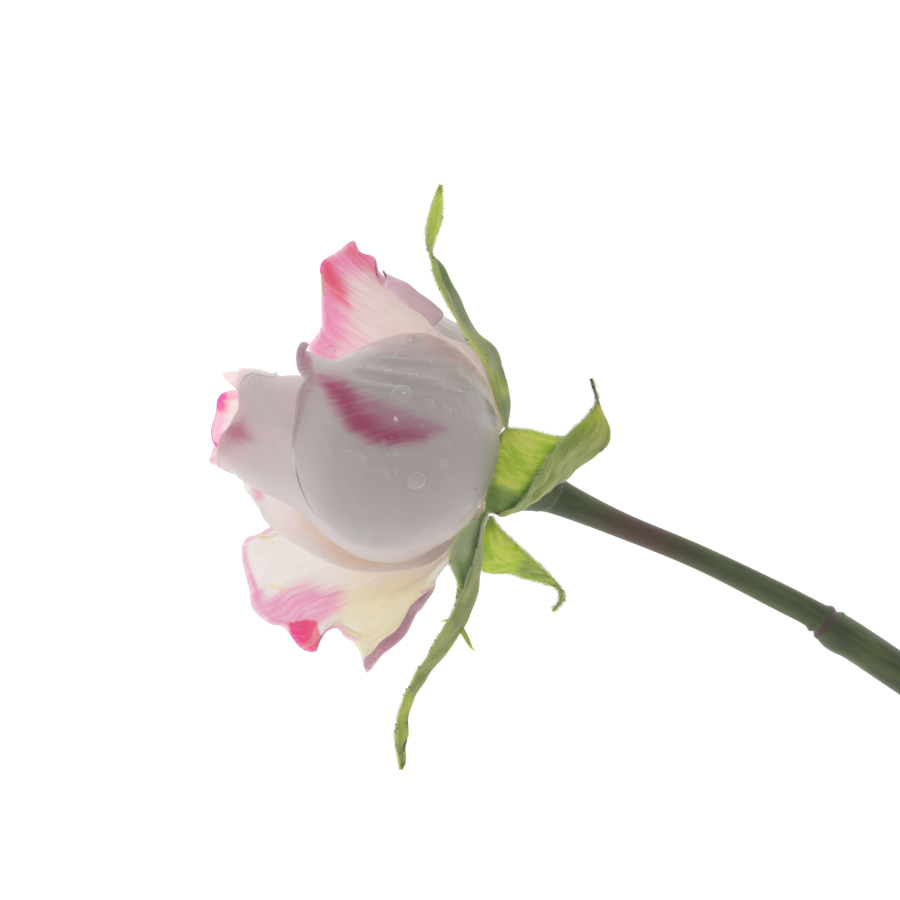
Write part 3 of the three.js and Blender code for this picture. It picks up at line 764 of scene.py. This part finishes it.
for number, (name, azimuth, lean, shoulder, stations) in enumerate(inner_petals):
    columns, rows = FINE if name in SEEN else COARSE
    grid = place(loft(cup(azimuth, stations, lean), columns, rows, (shoulder, shoulder)))
    grid = grab(grid, *PULLED_TIPS.get(name, ()))
    grid = lip(grid, "far", FLARES.get(name, 0.3), 1.0, 1, 10)
    side, length = spans(grid)
    grid = push(grid, 0.12 * wander(50 + number, 3, side, length) * smooth(30, 40, length))
    rim = smooth(3.6, 0.8, length[:, -1:] - length)
    blush, deep = PIGMENT.get(name, (0.3, 0.1))
    pink = blush * rim * (0.85 + 0.15 * wander(80 + number, 4, side))
    deep = deep * rim * smooth(-0.8, 0.2, wander(90 + number, 5, side))
    petal(name, grid, petal_tip, pink=pink, crimson=deep, vivid=rim,
          thickness=0.2)

# %% [markdown]
# ## Dew
#
# Water beads on a petal's waxy skin, so each drop is a low dome with a nearly round foot. A drop is
# clear in its middle and catches the sky at its rim, and here it does so by opacity: refraction
# would bend the view down into the dark of the bud. Each drop is a closed mesh set a little into the
# skin, so no gap shows under it.

# %% Water
f = Finish("water")
rim = f.node("LayerWeight", {}, {"Blend": 0.5}, "Facing")
water = f.surface(f.node("BsdfPrincipled", {}, {
    "Base Color": (0.97, 0.97, 0.98, 1), "Roughness": 0.04, "IOR": 1.8, "Specular IOR Level": 1.0,
    "Alpha": 0.2 + 0.55 * rim ** 2,
}))

DROP_RINGS, DROP_SIDES = 10, 28
dew_points, dew_faces = [], []


def bead(foot, normal, radius, height, long=1.0, toward=(1, 0, 0)):
    """One drop on the skin, longer in one direction if asked."""
    one = np.array(toward) - np.dot(toward, normal) * normal
    one /= np.linalg.norm(one)
    two = np.cross(normal, one)
    phi = np.linspace(0, np.pi, DROP_RINGS + 2)[1:-1, None]
    theta = np.linspace(0, 2 * np.pi, DROP_SIDES, endpoint=False)[None]
    uneven = 1 + 0.05 * np.sin(2 * theta + foot[0]) + 0.03 * np.sin(3 * theta + 2 * foot[1])
    reach = radius * np.sin(phi) ** 0.8 * uneven
    rise = height * np.where(phi < np.pi / 2, np.cos(phi), 0.3 * np.cos(phi))
    shell = foot + (reach * np.cos(theta) * long)[..., None] * one
    shell = shell + (reach * np.sin(theta))[..., None] * two + (rise + 0 * theta)[..., None] * normal
    start = sum(len(p) for p in dew_points)
    poles = [foot + height * normal, foot - 0.3 * height * normal]
    dew_points.append(np.concatenate([shell.reshape(-1, 3), poles]))
    index = start + np.arange(DROP_RINGS * DROP_SIDES).reshape(DROP_RINGS, DROP_SIDES)
    beside = np.roll(index, -1, 1)
    quads = np.stack([index[:-1], index[1:], beside[1:], beside[:-1]], -1).reshape(-1, 4)
    top = start + DROP_RINGS * DROP_SIDES
    bottom = top + 1
    dew_faces.append(halved(quads))
    dew_faces.append(np.stack([np.full(DROP_SIDES, top), index[0], beside[0]], -1))
    dew_faces.append(np.stack([np.full(DROP_SIDES, bottom), beside[-1], index[-1]], -1))


def dew_on(grid, spots, skin=1):
    """Drops on a petal, each spot as (x, y, radius, height over radius)."""
    normals = facing(grid) * skin
    for x, y, radius, plump in spots:
        off = np.linalg.norm(grid[..., :2] - (x, y), axis=-1)
        near = np.where((off < max(0.6, off.min() * 1.2)) & (normals[..., 2] > 0.05), grid[..., 2], -1e9)
        at = np.unravel_index(np.argmax(near), near.shape)
        bead(grid[at] + 0.1 * normals[at], normals[at], radius, radius * plump)


FRONT_DEW = [
    (4.3, 7.7, 2.0, 0.5), (7.1, 4.6, 1.1, 0.6), (-4.8, -4.9, 1.45, 0.65), (-5.5, 17.2, 1.15, 0.75),
    (-7.5, 15.1, 0.95, 0.6), (-8.5, 0.2, 0.9, 0.5), (-13.8, 12.9, 0.6, 0.6), (-9.9, 12.1, 0.6, 0.6),
    (-7.6, 8.7, 1.7, 0.28), (-2.6, 7.1, 0.95, 0.4), (-0.2, 6.3, 0.95, 0.4), (-10.3, 1.8, 0.5, 0.5),
    (0.2, 1.0, 0.6, 0.5), (-0.6, -2.0, 0.8, 0.5), (-9.8, -3.7, 0.75, 0.55), (-7.8, -3.5, 0.55, 0.5),
    (0.4, -4.7, 0.45, 0.55), (-13.4, -1.7, 0.45, 0.4), (-5.4, 11.4, 0.8, 0.35), (4.2, 2.4, 0.4, 0.5),
    (-4.0, 4.0, 0.45, 0.45), (-1.0, 10.4, 0.35, 0.5), (2.4, 5.6, 0.35, 0.5), (-11.2, 15.0, 0.3, 0.6),
    (1.5, 9.2, 0.3, 0.6), (-2.8, 13.4, 0.3, 0.6),
]
dew_on(front_grid, FRONT_DEW)
dew_on(under_grid, [(-29.9, 11.3, 1.0, 0.6), (-14.7, -5.7, 0.25, 0.6)])
dew_on(top_grid, [(-19.1, 14.8, 1.1, 0.7)], -1)
dew_on(low_grid, [(-4.8, -24.0, 1.4, 0.7), (-1.8, -20.5, 0.8, 0.7), (-0.5, -17.7, 0.7, 0.6)], -1)
FINE_DROPS = 70
rng = np.random.default_rng(7)
for _ in range(FINE_DROPS):
    spread = rng.uniform([-17, -12, 0.07], [6, 16, 0.2])
    dew_on(front_grid, [(*spread, 0.55)])
piece("rose_dew", np.concatenate(dew_points), np.concatenate(dew_faces), water)

# %% [markdown]
# ## Sepals
#
# Five sepals spring from the rim of the hip. They are leaves: green and downy, folded along the
# middle, with a narrow tip. They are lofted like petals, from ribs given point by point.

# %% Sepal finish
def sepal_finish(name):
    f = Finish(name)
    across, length, _ = f.attribute("lay").parts()
    purple, lit, dark = f.attribute("paint").parts()
    outer, down, _ = f.attribute("skin").parts()
    veins = f.stretched(across * 1.6, length * 0.3, 0.0, 1.0, 3, 0.6)
    fine = f.stretched(across * 6.0, length * 2.5, 3.0, 1.0, 3)
    cloud = f.stretched(across * 0.3, length * 0.15, 9.0, 1.0, 3)
    mottle = (cloud + (veins - 0.5) * 0.9 + (fine - 0.5) * 0.3).step(0.3, 0.75)
    colour = f.mix(mottle, (0.20, 0.31, 0.08), (0.34, 0.45, 0.13))
    inner = f.mix(mottle, (0.38, 0.46, 0.12), (0.60, 0.66, 0.26))
    colour = f.mix(outer, inner, colour)
    bright = f.mix(mottle, (0.56, 0.72, 0.06), (0.86, 0.92, 0.22))
    colour = f.mix((lit + (cloud - 0.5) * lit).step(0.0, 1.0), colour, bright)
    colour = f.mix(dark * 0.75, colour, (0.10, 0.19, 0.05))
    colour = f.mix((down * (0.6 + fine * 0.8)).min(1) * 0.75, colour, (0.62, 0.62, 0.50))
    colour = f.mix((purple + (cloud - 0.5) * 0.6 * purple).step(0.2, 0.9), colour, (0.20, 0.10, 0.09))
    bump = f.node("Bump", {}, {"Strength": 0.6, "Distance": 0.0001, "Height": veins * 0.6 + fine * 0.5})
    shader = f.node("BsdfPrincipled", {}, {
        "Base Color": colour,
        "Roughness": 0.55 + (fine - 0.5) * 0.2,
        "Specular IOR Level": 0.35,
        "Subsurface Weight": 1.0,
        "Subsurface Radius": (0.8, 1.0, 0.3),
        "Subsurface Scale": 0.0011,
        "Sheen Weight": 0.25,
        "Sheen Roughness": 0.4,
        "Normal": bump,
    })
    return f.surface(shader)


sepal_green = sepal_finish("sepal_green")

# %% Sepal shapes
SEPALS = {
    "sepal_front": [
        [[8.5, 3.4, 4.2], [12.3, 3.1, 7.6], [17.1, 2, 9.6], [19.2, 3.5, 9.8], [21.4, 5.5, 9.6],
         [22.3, 7.4, 9.4], [21.3, 10.9, 9]],
        [[7.7, 0.3, 6.9], [10.9, -0.3, 9], [15.8, -0.9, 9.6], [19.1, 0.8, 9.2], [21.8, 3.1, 9.2],
         [22.3, 7.4, 9.3], [21.4, 10.9, 9]],
        [[6.6, -4.6, 7.6], [9.2, -6.3, 9.2], [14.2, -5.1, 9], [19.7, -1.2, 8.4], [22.8, 1.5, 8.6],
         [22.5, 7.5, 9.2], [21.5, 10.9, 9]],
        [[5.5, -7.7, 8.1], [8, -9.8, 8.4], [13.1, -7.7, 8.6], [20, -2.2, 8.2], [24.2, 1.5, 8.6],
         [22.6, 7.5, 9.2], [21.6, 10.9, 9]],
        [[5.5, -9.2, 7.4], [9.2, -9.5, 9.2], [13.8, -5.1, 10.8], [18.6, -0.3, 10.6],
         [22.6, 4, 10.2], [22.6, 7.7, 9.5], [21.7, 11, 9]],
        [[6, -9.7, 6.6], [10.6, -8.2, 10.6], [14, -2.5, 12], [17.4, 1.8, 11.8], [21.2, 5.7, 10.6],
         [22.5, 7.8, 9.7], [21.8, 11, 9]],
    ],
    "sepal_top": [
        [[8.3, 3.5, 3.6], [6.6, 8.5, 7], [5.2, 12.6, 8.2], [1.4, 18.9, 8.4], [-2, 25.5, 6.8],
         [-3.1, 29.8, 6], [-3.8, 34.6, 5.6], [-1.7, 40.7, 5.3]],
        [[8.7, 3.7, 4.2], [9, 8, 6.4], [7.2, 14.8, 9], [3.4, 18.9, 9.4], [-0.3, 26.5, 7.6],
         [-2.8, 30.5, 6.4], [-2.8, 35.1, 6.4], [-1.4, 40.6, 5.3]],
        [[8.5, 3.2, 5.6], [7.4, 8, 8.8], [5.5, 14.3, 10.4], [2, 19.1, 10.4], [-1.4, 26, 8.6],
         [-2.6, 30.5, 6.6], [-1.2, 35.4, 6], [-1.1, 40.6, 5.3]],
    ],
    "sepal_low": [
        [[5.4, -9.1, 4.6], [3.7, -10.8, 7.6], [1.1, -12.9, 9.4], [-0.2, -16.6, 8],
         [1.2, -21.2, 4.8], [-0.3, -26.5, 3.6], [-3.8, -32.3, 3], [-7.1, -38.5, 2.6],
         [-8.5, -43.8, 2.4], [-7.8, -49.1, 2.3]],
        [[5.6, -9.4, 4.2], [4.3, -11.1, 6.8], [2.9, -13.7, 8], [2.5, -17.2, 6], [2.8, -21.8, 3.8],
         [0.9, -27.1, 3.2], [-2.8, -32.9, 2.6], [-6.3, -38.8, 2.2], [-7.4, -43.8, 2.2],
         [-7.6, -49.1, 2.3]],
        [[5.8, -9.5, 3.8], [5.1, -11.4, 5.6], [4.8, -13.8, 6.2], [4.6, -17.8, 4.8],
         [3.8, -23.1, 3.8], [1.1, -28.6, 3.4], [-2.5, -33.2, 3], [-6, -38.8, 2.6],
         [-6.6, -43.8, 2.4], [-7.4, -49.1, 2.3]],
        [[5.8, -9.3, 5.2], [4.9, -11.1, 7], [4.5, -13.8, 7.8], [3.2, -17.8, 6.8],
         [1.4, -22.5, 5.4], [-0.8, -26.8, 4.8], [-4.2, -32.5, 4.2], [-7.4, -38.6, 3.6],
         [-8.2, -43.8, 3.2], [-7.2, -49.1, 2.3]],
    ],
    "sepal_lower": [
        [[5.9, -10.2, -1.8], [4.6, -14.6, -1], [4.9, -18.6, -2.6], [8.9, -19.2, -4.2],
         [12.9, -20.2, -5.4], [16.3, -21.4, -6], [16.9, -23.2, -6.2], [15.7, -24.8, -6.4]],
        [[6.2, -10.2, -0.9], [6.2, -13.2, 0.4], [7.4, -16.3, -1.6], [10.5, -17.5, -3.4],
         [13.5, -18.9, -5], [16.5, -20.8, -5.8], [17.3, -22.9, -6.2], [15.9, -25, -6.4]],
        [[6.5, -10.2, -0.2], [7.7, -12, 0], [9.8, -14, -1.8], [12, -16, -3.6], [14.2, -18, -5.2],
         [16.6, -20.5, -5.8], [17.8, -22.9, -6.2], [16.1, -25.2, -6.4]],
    ],
    "sepal_back": [
        [[6.8, -7.7, -5.8], [8.9, -8.5, -8.4], [12.3, -7.7, -11.4], [16.3, -4.6, -13.6],
         [20.4, 0.4, -15.5]],
        [[8, -3.1, -7.6], [10, -3.7, -10.4], [13.1, -3.1, -13], [16.6, -1.2, -14.8],
         [20.3, 0.6, -15.5]],
        [[8.8, 1.8, -5.8], [11.1, 1.2, -8.6], [13.8, 1.2, -12], [16.9, 1.5, -14.4],
         [20.2, 0.9, -15.5]],
    ],
}

# %% Sepals worked and painted
LIT = {
    "sepal_front": [(7, 4), (18, 3), (14.5, -2), (10.5, -6.5), (7, -5)],
    "sepal_top": [(2.5, 18), (4.6, 17.6), (8.6, 9), (6.6, 7.4), (4.2, 12)],
    "sepal_low": [(-9.5, -38), (-5, -38), (-6, -50), (-9.5, -50)],
    "sepal_lower": [(4.4, -12), (8, -12), (12, -16), (10, -19), (4.6, -19)],
    "sepal_back": [(7, -3), (20, -1), (20, 2), (7, 2)],
}
LIT_TIPS = {"sepal_front": (21.5, 7, 5), "sepal_top": (-2.4, 37, 4.5)}
THICK_DOWN = {"sepal_low": [(-1, -8), (4.4, -11), (3.0, -16), (0.6, -20), (-1, -15)],
              "sepal_top": [(-1.4, 24), (5.5, 24), (9.5, 12), (3.5, 12), (-1.2, 22)]}
EVEN_DOWN = {
    "sepal_front": 0.08, "sepal_top": 0.3, "sepal_low": 0.3, "sepal_lower": 0.1, "sepal_back": 0.2}
sepal_grids = {}
for number, (node, ribs) in enumerate(SEPALS.items()):
    grid = loft(np.array(ribs, float), 41, 201)
    side, length = spans(grid)
    grid = push(grid, 0.16 * wander(100 + number, 2.2, side * 1.5, length) * smooth(2, 8, length))
    sepal_grids[node] = grid
    points, faces = sheet(grid, 0.42, edge=0.25, taper=1.0)
    full = lambda *masks: np.stack([np.broadcast_to(m, side.shape) for m in masks], -1).reshape(-1, 3)
    lit = patch(grid, LIT[node], 1.5)
    if node in LIT_TIPS:
        x, y, reach = LIT_TIPS[node]
        lit = np.maximum(lit, bell(np.linalg.norm(grid[..., :2] - (x, y), axis=-1), 0, reach))
    downy = EVEN_DOWN[node]
    if node in THICK_DOWN:
        downy = downy + 0.5 * patch(grid, THICK_DOWN[node], 1.2)
    downy = downy + 0.5 * smooth(0.5, 0.1, to_margin(grid))
    tip = smooth(2.5, 0.5, length[:, -1:] - length) * (node in ("sepal_top", "sepal_low"))
    skin = np.tile(full(0, downy, 0), (2, 1))
    skin[:side.size, 0] = 1
    attributes = {
        "lay": np.tile(full(side - side[-1:] / 2 + 100 * number, length, to_margin(grid)), (2, 1)),
        "paint": np.tile(full(0.6 * tip, lit, 0.75 * smooth(0.8, 0.2, to_margin(grid))), (2, 1)),
        "skin": skin,
    }
    piece("rose_" + node, points, faces, sepal_green, attributes, node)

# %% [markdown]
# ## Hip and stem
#
# The hip is the stem's swollen end, and both are one body here. A tube swept along a smooth path
# does it, with rings close enough to hold the node near the cut.

# %% Stem shape
STALK = [
    [2.2, -2.1, 0, 0.9], [4.8, -2.6, 0, 3], [6.4, -2.9, 0, 5.1], [7.4, -3.1, 0, 6.5],
    [9.4, -3.5, 0, 6.2], [12.3, -4.8, -0.6, 5.2], [14.9, -6.3, -1.4, 3.6], [17.2, -7.5, -2.2, 2.7],
    [26.2, -11.5, -4.2, 2], [38.5, -16.6, -6.9, 1.9], [50.8, -22.6, -9.8, 2.1],
    [56.9, -25.8, -11.3, 2.2], [60, -28.2, -12.2, 3], [63.1, -30, -13, 2.9], [69.1, -34, -14.7, 2.9],
    [90, -48.2, -17.3, 2.8],
]


def stalk(path, sides, rings, radius_at=None):
    """Points, faces and own coordinates of a round stalk swept along (x, y, z, radius)."""
    t = np.linspace(0, 1, rings)
    spine = along(path, t)
    ahead = np.gradient(spine[:, :3], axis=0)
    ahead /= np.linalg.norm(ahead, axis=1, keepdims=True)
    one = np.cross(ahead, UP)
    one /= np.linalg.norm(one, axis=1, keepdims=True)
    two = np.cross(one, ahead)
    a = np.linspace(0, 2 * np.pi, sides, endpoint=False)
    ring = one[:, None] * np.cos(a)[None, :, None] + two[:, None] * np.sin(a)[None, :, None]
    run = np.concatenate([[0], np.cumsum(np.linalg.norm(np.diff(spine[:, :3], axis=0), axis=1))])
    radius = spine[:, 3:4] + (0 if radius_at is None else radius_at(run[:, None], a[None]))
    points = (spine[:, None, :3] + ring * radius[..., None]).reshape(-1, 3)
    index = np.arange(rings * sides).reshape(rings, sides)
    beside = np.roll(index, -1, 1)
    skin = np.stack([index[:-1], beside[:-1], beside[1:], index[1:]], -1).reshape(-1, 4)
    first, last = len(points), len(points) + 1
    points = np.concatenate([points, spine[[0, -1], :3]])
    caps = [[first, beside[0, s], index[0, s]] for s in range(sides)]
    caps += [[last, index[-1, s], beside[-1, s]] for s in range(sides)]
    return points, np.concatenate([halved(skin), caps]), run, a


NODE_RUN = 62.7
RIDGE_OFF = 0.9


def scar(run, turn):
    """The node: two low ridges round the stem with a groove between them."""
    tilted = run + 0.5 * np.cos(turn)
    ridges = 0.35 * bell(tilted, NODE_RUN - RIDGE_OFF, 0.5) + 0.25 * bell(tilted, NODE_RUN + RIDGE_OFF, 0.5)
    return ridges - 0.15 * bell(tilted, NODE_RUN, 0.4)


points, triangles, run, turn = stalk(STALK, 40, 420, scar)
height = np.repeat(run, len(turn))
around_stem = np.tile(turn, len(run))
height = np.concatenate([height, run[[0, -1]]])
around_stem = np.concatenate([around_stem, [0, 0]])
lay = np.stack([np.cos(around_stem), np.sin(around_stem), height], -1)
purple = np.maximum(0.8 * bell(height, 30, 12), bell(height, NODE_RUN - 0.1, 0.7))
paint = np.stack([purple, 0 * height, smooth(0, 1, 12 - height)], -1)


def stem_finish(name):
    f = Finish(name)
    x, y, run = f.attribute("lay").parts()
    purple, _, hip = f.attribute("paint").parts()
    streaks = f.stretched(x * 2.5, y * 2.5, run * 0.12, 1.0, 4, 0.6)
    fine = f.stretched(x * 9.0, y * 9.0, run * 3.0, 1.0, 3)
    cloud = f.stretched(x * 0.8, y * 0.8, run * 0.08, 1.0, 3)
    streaked = (streaks + (cloud - 0.5)).step(0.3, 0.75)
    colour = f.mix(streaked, (0.11, 0.14, 0.075), (0.17, 0.22, 0.09))
    colour = f.mix((purple + (cloud - 0.5) * 0.5).step(0.2, 1.0), colour, (0.19, 0.12, 0.10))
    colour = f.mix(hip, colour, (0.30, 0.45, 0.06))
    bump = f.node("Bump", {}, {"Strength": 0.5, "Distance": 0.0001, "Height": streaks * 0.6 + fine * 0.4})
    shader = f.node("BsdfPrincipled", {}, {
        "Base Color": colour,
        "Roughness": 0.5 + (fine - 0.5) * 0.25,
        "Specular IOR Level": 0.4,
        "Subsurface Weight": 0.5,
        "Subsurface Radius": (0.7, 1.0, 0.25),
        "Subsurface Scale": 0.0012,
        "Sheen Weight": 0.15,
        "Normal": bump,
    })
    return f.surface(shader)


stem_green = stem_finish("stem_green")
piece("rose_stem", points, triangles, stem_green, {"lay": lay, "paint": paint}, "stem")

# %% [markdown]
# ## Down and glands
#
# Sepals carry a pale down that lights up along every outline. Particle hair would not leave Blender
# with the flower, so each hair is a thin cone in one mesh. Margins also carry a few dark glands,
# small beads on the edge, and the long sepal has a side lobe and a tooth, each a tapered stalk.

# %% Hairs
f = Finish("pale_down")
ends = f.stretched(*f.attribute("lay").parts(), 1.0)
colour = f.mix(ends, (0.80, 0.84, 0.66), (0.92, 0.93, 0.86))
down_white = f.surface(f.node("BsdfPrincipled", {}, {
    "Base Color": colour, "Roughness": 0.4, "Subsurface Weight": 0.6, "Subsurface Scale": 0.0003,
}))


def cones(feet, tips, width):
    """Thin three-sided cones from feet to tips."""
    axis = tips - feet
    one = np.cross(axis, UP + 0.01)
    one /= np.linalg.norm(one, axis=1, keepdims=True)
    two = np.cross(axis, one)
    two /= np.linalg.norm(two, axis=1, keepdims=True)
    ring = [feet + width[:, None] * (np.cos(a) * one + np.sin(a) * two) for a in np.radians([0, 120, 240])]
    points = np.stack([*ring, tips], 1).reshape(-1, 3)
    k = 4 * np.arange(len(feet))[:, None, None]
    faces = k + np.array([[0, 1, 3], [1, 2, 3], [2, 0, 3], [0, 2, 1]])
    return points, faces.reshape(-1, 3)


HAIRS_PER_SEPAL = 1800
HAIR_RADIUS = 0.03
count = HAIRS_PER_SEPAL
rng = np.random.default_rng(11)
feet, tips = [], []
for node, grid in sepal_grids.items():
    normals = facing(grid)
    i = rng.integers(0, grid.shape[0], count)
    at_edge = rng.random(count) < 0.6
    i = np.where(at_edge, np.where(i % 2, 0, grid.shape[0] - 1), i)
    j = rng.integers(0, grid.shape[1] - 4, count)
    skin = np.where(rng.random(count) < 0.5, 1, -1)[:, None]
    middle = grid[grid.shape[0] // 2, j]
    away = grid[i, j] - middle
    away /= np.linalg.norm(away, axis=1, keepdims=True) + 1e-9
    lean = normals[i, j] * skin * np.where(at_edge, 0.4, 1)[:, None]
    lean = lean + away * np.where(at_edge, 1, 0.1)[:, None]
    lean = lean + rng.normal(0, 0.35, (count, 3))
    lean /= np.linalg.norm(lean, axis=1, keepdims=True)
    foot = grid[i, j] + 0.12 * normals[i, j] * skin
    feet.append(foot)
    tips.append(foot + lean * rng.uniform(0.2, 0.6, (count, 1)))
feet, tips = np.concatenate(feet), np.concatenate(tips)
points, faces = cones(feet, tips, np.full(len(feet), HAIR_RADIUS))
piece("rose_down", points, faces, down_white, {"lay": points})

# %% Glands, teeth and side lobes
f = Finish("gland_brown")
patchy = f.stretched(*f.attribute("lay").parts(), 2.0)
gland_brown = f.surface(f.node("BsdfPrincipled", {}, {
    "Base Color": f.mix(patchy, (0.16, 0.10, 0.06), (0.28, 0.14, 0.10)), "Roughness": 0.35,
}))


def blobs(centres, radii):
    """Small eight-sided beads, coarse because a gland is a fifth of a millimetre across."""
    phi = np.radians([30, 75, 105, 150])[:, None]
    theta = np.radians(np.arange(0, 360, 45))[None]
    ring = np.stack([np.sin(phi) * np.cos(theta), np.sin(phi) * np.sin(theta), np.cos(phi) + 0 * theta], -1)
    unit = np.concatenate([ring.reshape(-1, 3), [[0, 0, 1], [0, 0, -1]]])
    index = np.arange(32).reshape(4, 8)
    beside = np.roll(index, -1, 1)
    quads = np.stack([index[:-1], index[1:], beside[1:], beside[:-1]], -1).reshape(-1, 4)
    caps = [[32, index[0, k], beside[0, k]] for k in range(8)]
    caps += [[33, beside[3, k], index[3, k]] for k in range(8)]
    faces = np.concatenate([halved(quads), caps])
    points = centres[:, None] + radii[:, None, None] * unit
    return points.reshape(-1, 3), (34 * np.arange(len(centres))[:, None, None] + faces).reshape(-1, 3)


centres, radii = [], []
for node, count in (("sepal_low", 46), ("sepal_top", 22), ("sepal_lower", 8), ("sepal_front", 10)):
    grid = sepal_grids[node]
    j = rng.integers(int(0.25 * grid.shape[1]), grid.shape[1] - 6, count)
    at_edge = rng.random(count) < 0.7
    edge = rng.choice([0, grid.shape[0] - 1], count)
    i = np.where(at_edge, edge, rng.integers(0, grid.shape[0], count))
    centres.append(grid[i, j] + rng.normal(0, 0.08, (count, 3)))
    radii.append(rng.uniform(0.08, 0.17, count))
points, faces = blobs(np.concatenate(centres), np.concatenate(radii))
piece("rose_glands", points, faces, gland_brown, {"lay": points})


def tooth(name, path):
    """A side lobe of the low sepal: a small tapered leaflet along (x, y, z, radius)."""
    points, faces, _, _ = stalk(path, 10, 24)
    ones = np.ones(len(points))
    # Painted light: the side lobe and tooth get 0.6 in the lit slot, a lighter green standing for light on
    # them.
    attributes = {"lay": points, "paint": np.stack([0 * ones, 0.6 * ones, 0 * ones], -1),
                  "skin": np.stack([ones, 0.1 * ones, 0 * ones], -1)}
    piece(name, points, faces, sepal_green, attributes)


tooth("rose_side_lobe", [
    (1.2, -26.6, 3.4, 0.2), (1.9, -27.7, 3.5, 0.42), (2.7, -29.2, 3.5, 0.36), (3.3, -30.3, 3.4, 0.2),
    (3.9, -30.9, 3.3, 0.04)])
tooth("rose_side_tooth", [(0.4, -26.3, 3.6, 0.25), (-0.5, -26.1, 3.8, 0.16), (-1.6, -26.4, 3.9, 0.03)])

# %% [markdown]
# ## Light table, soft light and camera
#
# The flower lies on a lit white surface, so the ground is bright and petals glow from below. A soft
# sky fills the upper side, a wide low lamp shapes the ball, and a tiny one sparkles in the dew. The
# camera looks straight down from far away, which keeps the shapes true.

# %% Floor, lights and camera
FLOOR = 1.6
FLOOR_HEIGHT = -0.0003
mesh = bpy.data.meshes.new("light_table")
corners = [(-FLOOR, -FLOOR), (FLOOR, -FLOOR), (FLOOR, FLOOR), (-FLOOR, FLOOR)]
mesh.from_pydata([(x, y, FLOOR_HEIGHT) for x, y in corners], [], [(0, 1, 2, 3)])
floor = bpy.data.objects.new("light_table", mesh)
bpy.context.scene.collection.objects.link(floor)
f = Finish("lit_white")
mesh.materials.append(f.surface(f.node("Emission", {}, {"Color": (1, 1, 1, 1), "Strength": 1.06})))

world = bpy.data.worlds.new("soft_sky")
world.use_nodes = True
world.node_tree.nodes["Background"].inputs["Color"].default_value = (1.0, 0.985, 0.985, 1)
world.node_tree.nodes["Background"].inputs["Strength"].default_value = 0.35
bpy.context.scene.world = world


def lamp(name, where, target, size, power):
    data = bpy.data.lights.new(name, "AREA")
    data.shape = "RECTANGLE"
    data.size, data.size_y = size
    data.energy = power
    made = bpy.data.objects.new(name, data)
    bpy.context.scene.collection.objects.link(made)
    made.location = where
    direction = np.array(target) - np.array(where)
    made.rotation_euler = Vector(direction).to_track_quat("-Z", "Y").to_euler()


lamp("low_lamp", (-0.25, -0.6, 0.5), (-0.02, 0, 0.02), (0.5, 0.5), 0.9)
lamp("glint_lamp", (-0.06, 0.35, 0.75), (-0.02, 0, 0.02), (0.032, 0.032), 0.45)

CAMERA_OVER = (-0.027365, 0.004905)
CAMERA_HEIGHT = 1.174
camera_data = bpy.data.cameras.new("camera")
camera_data.lens = 300
camera_data.sensor_width = 36
camera = bpy.data.objects.new("camera", camera_data)
bpy.context.scene.collection.objects.link(camera)
camera.location = (*CAMERA_OVER, CAMERA_HEIGHT)
camera_data.clip_start, camera_data.clip_end = 0.05, 10
bpy.context.scene.camera = camera
bpy.context.scene.view_settings.view_transform = "Standard"
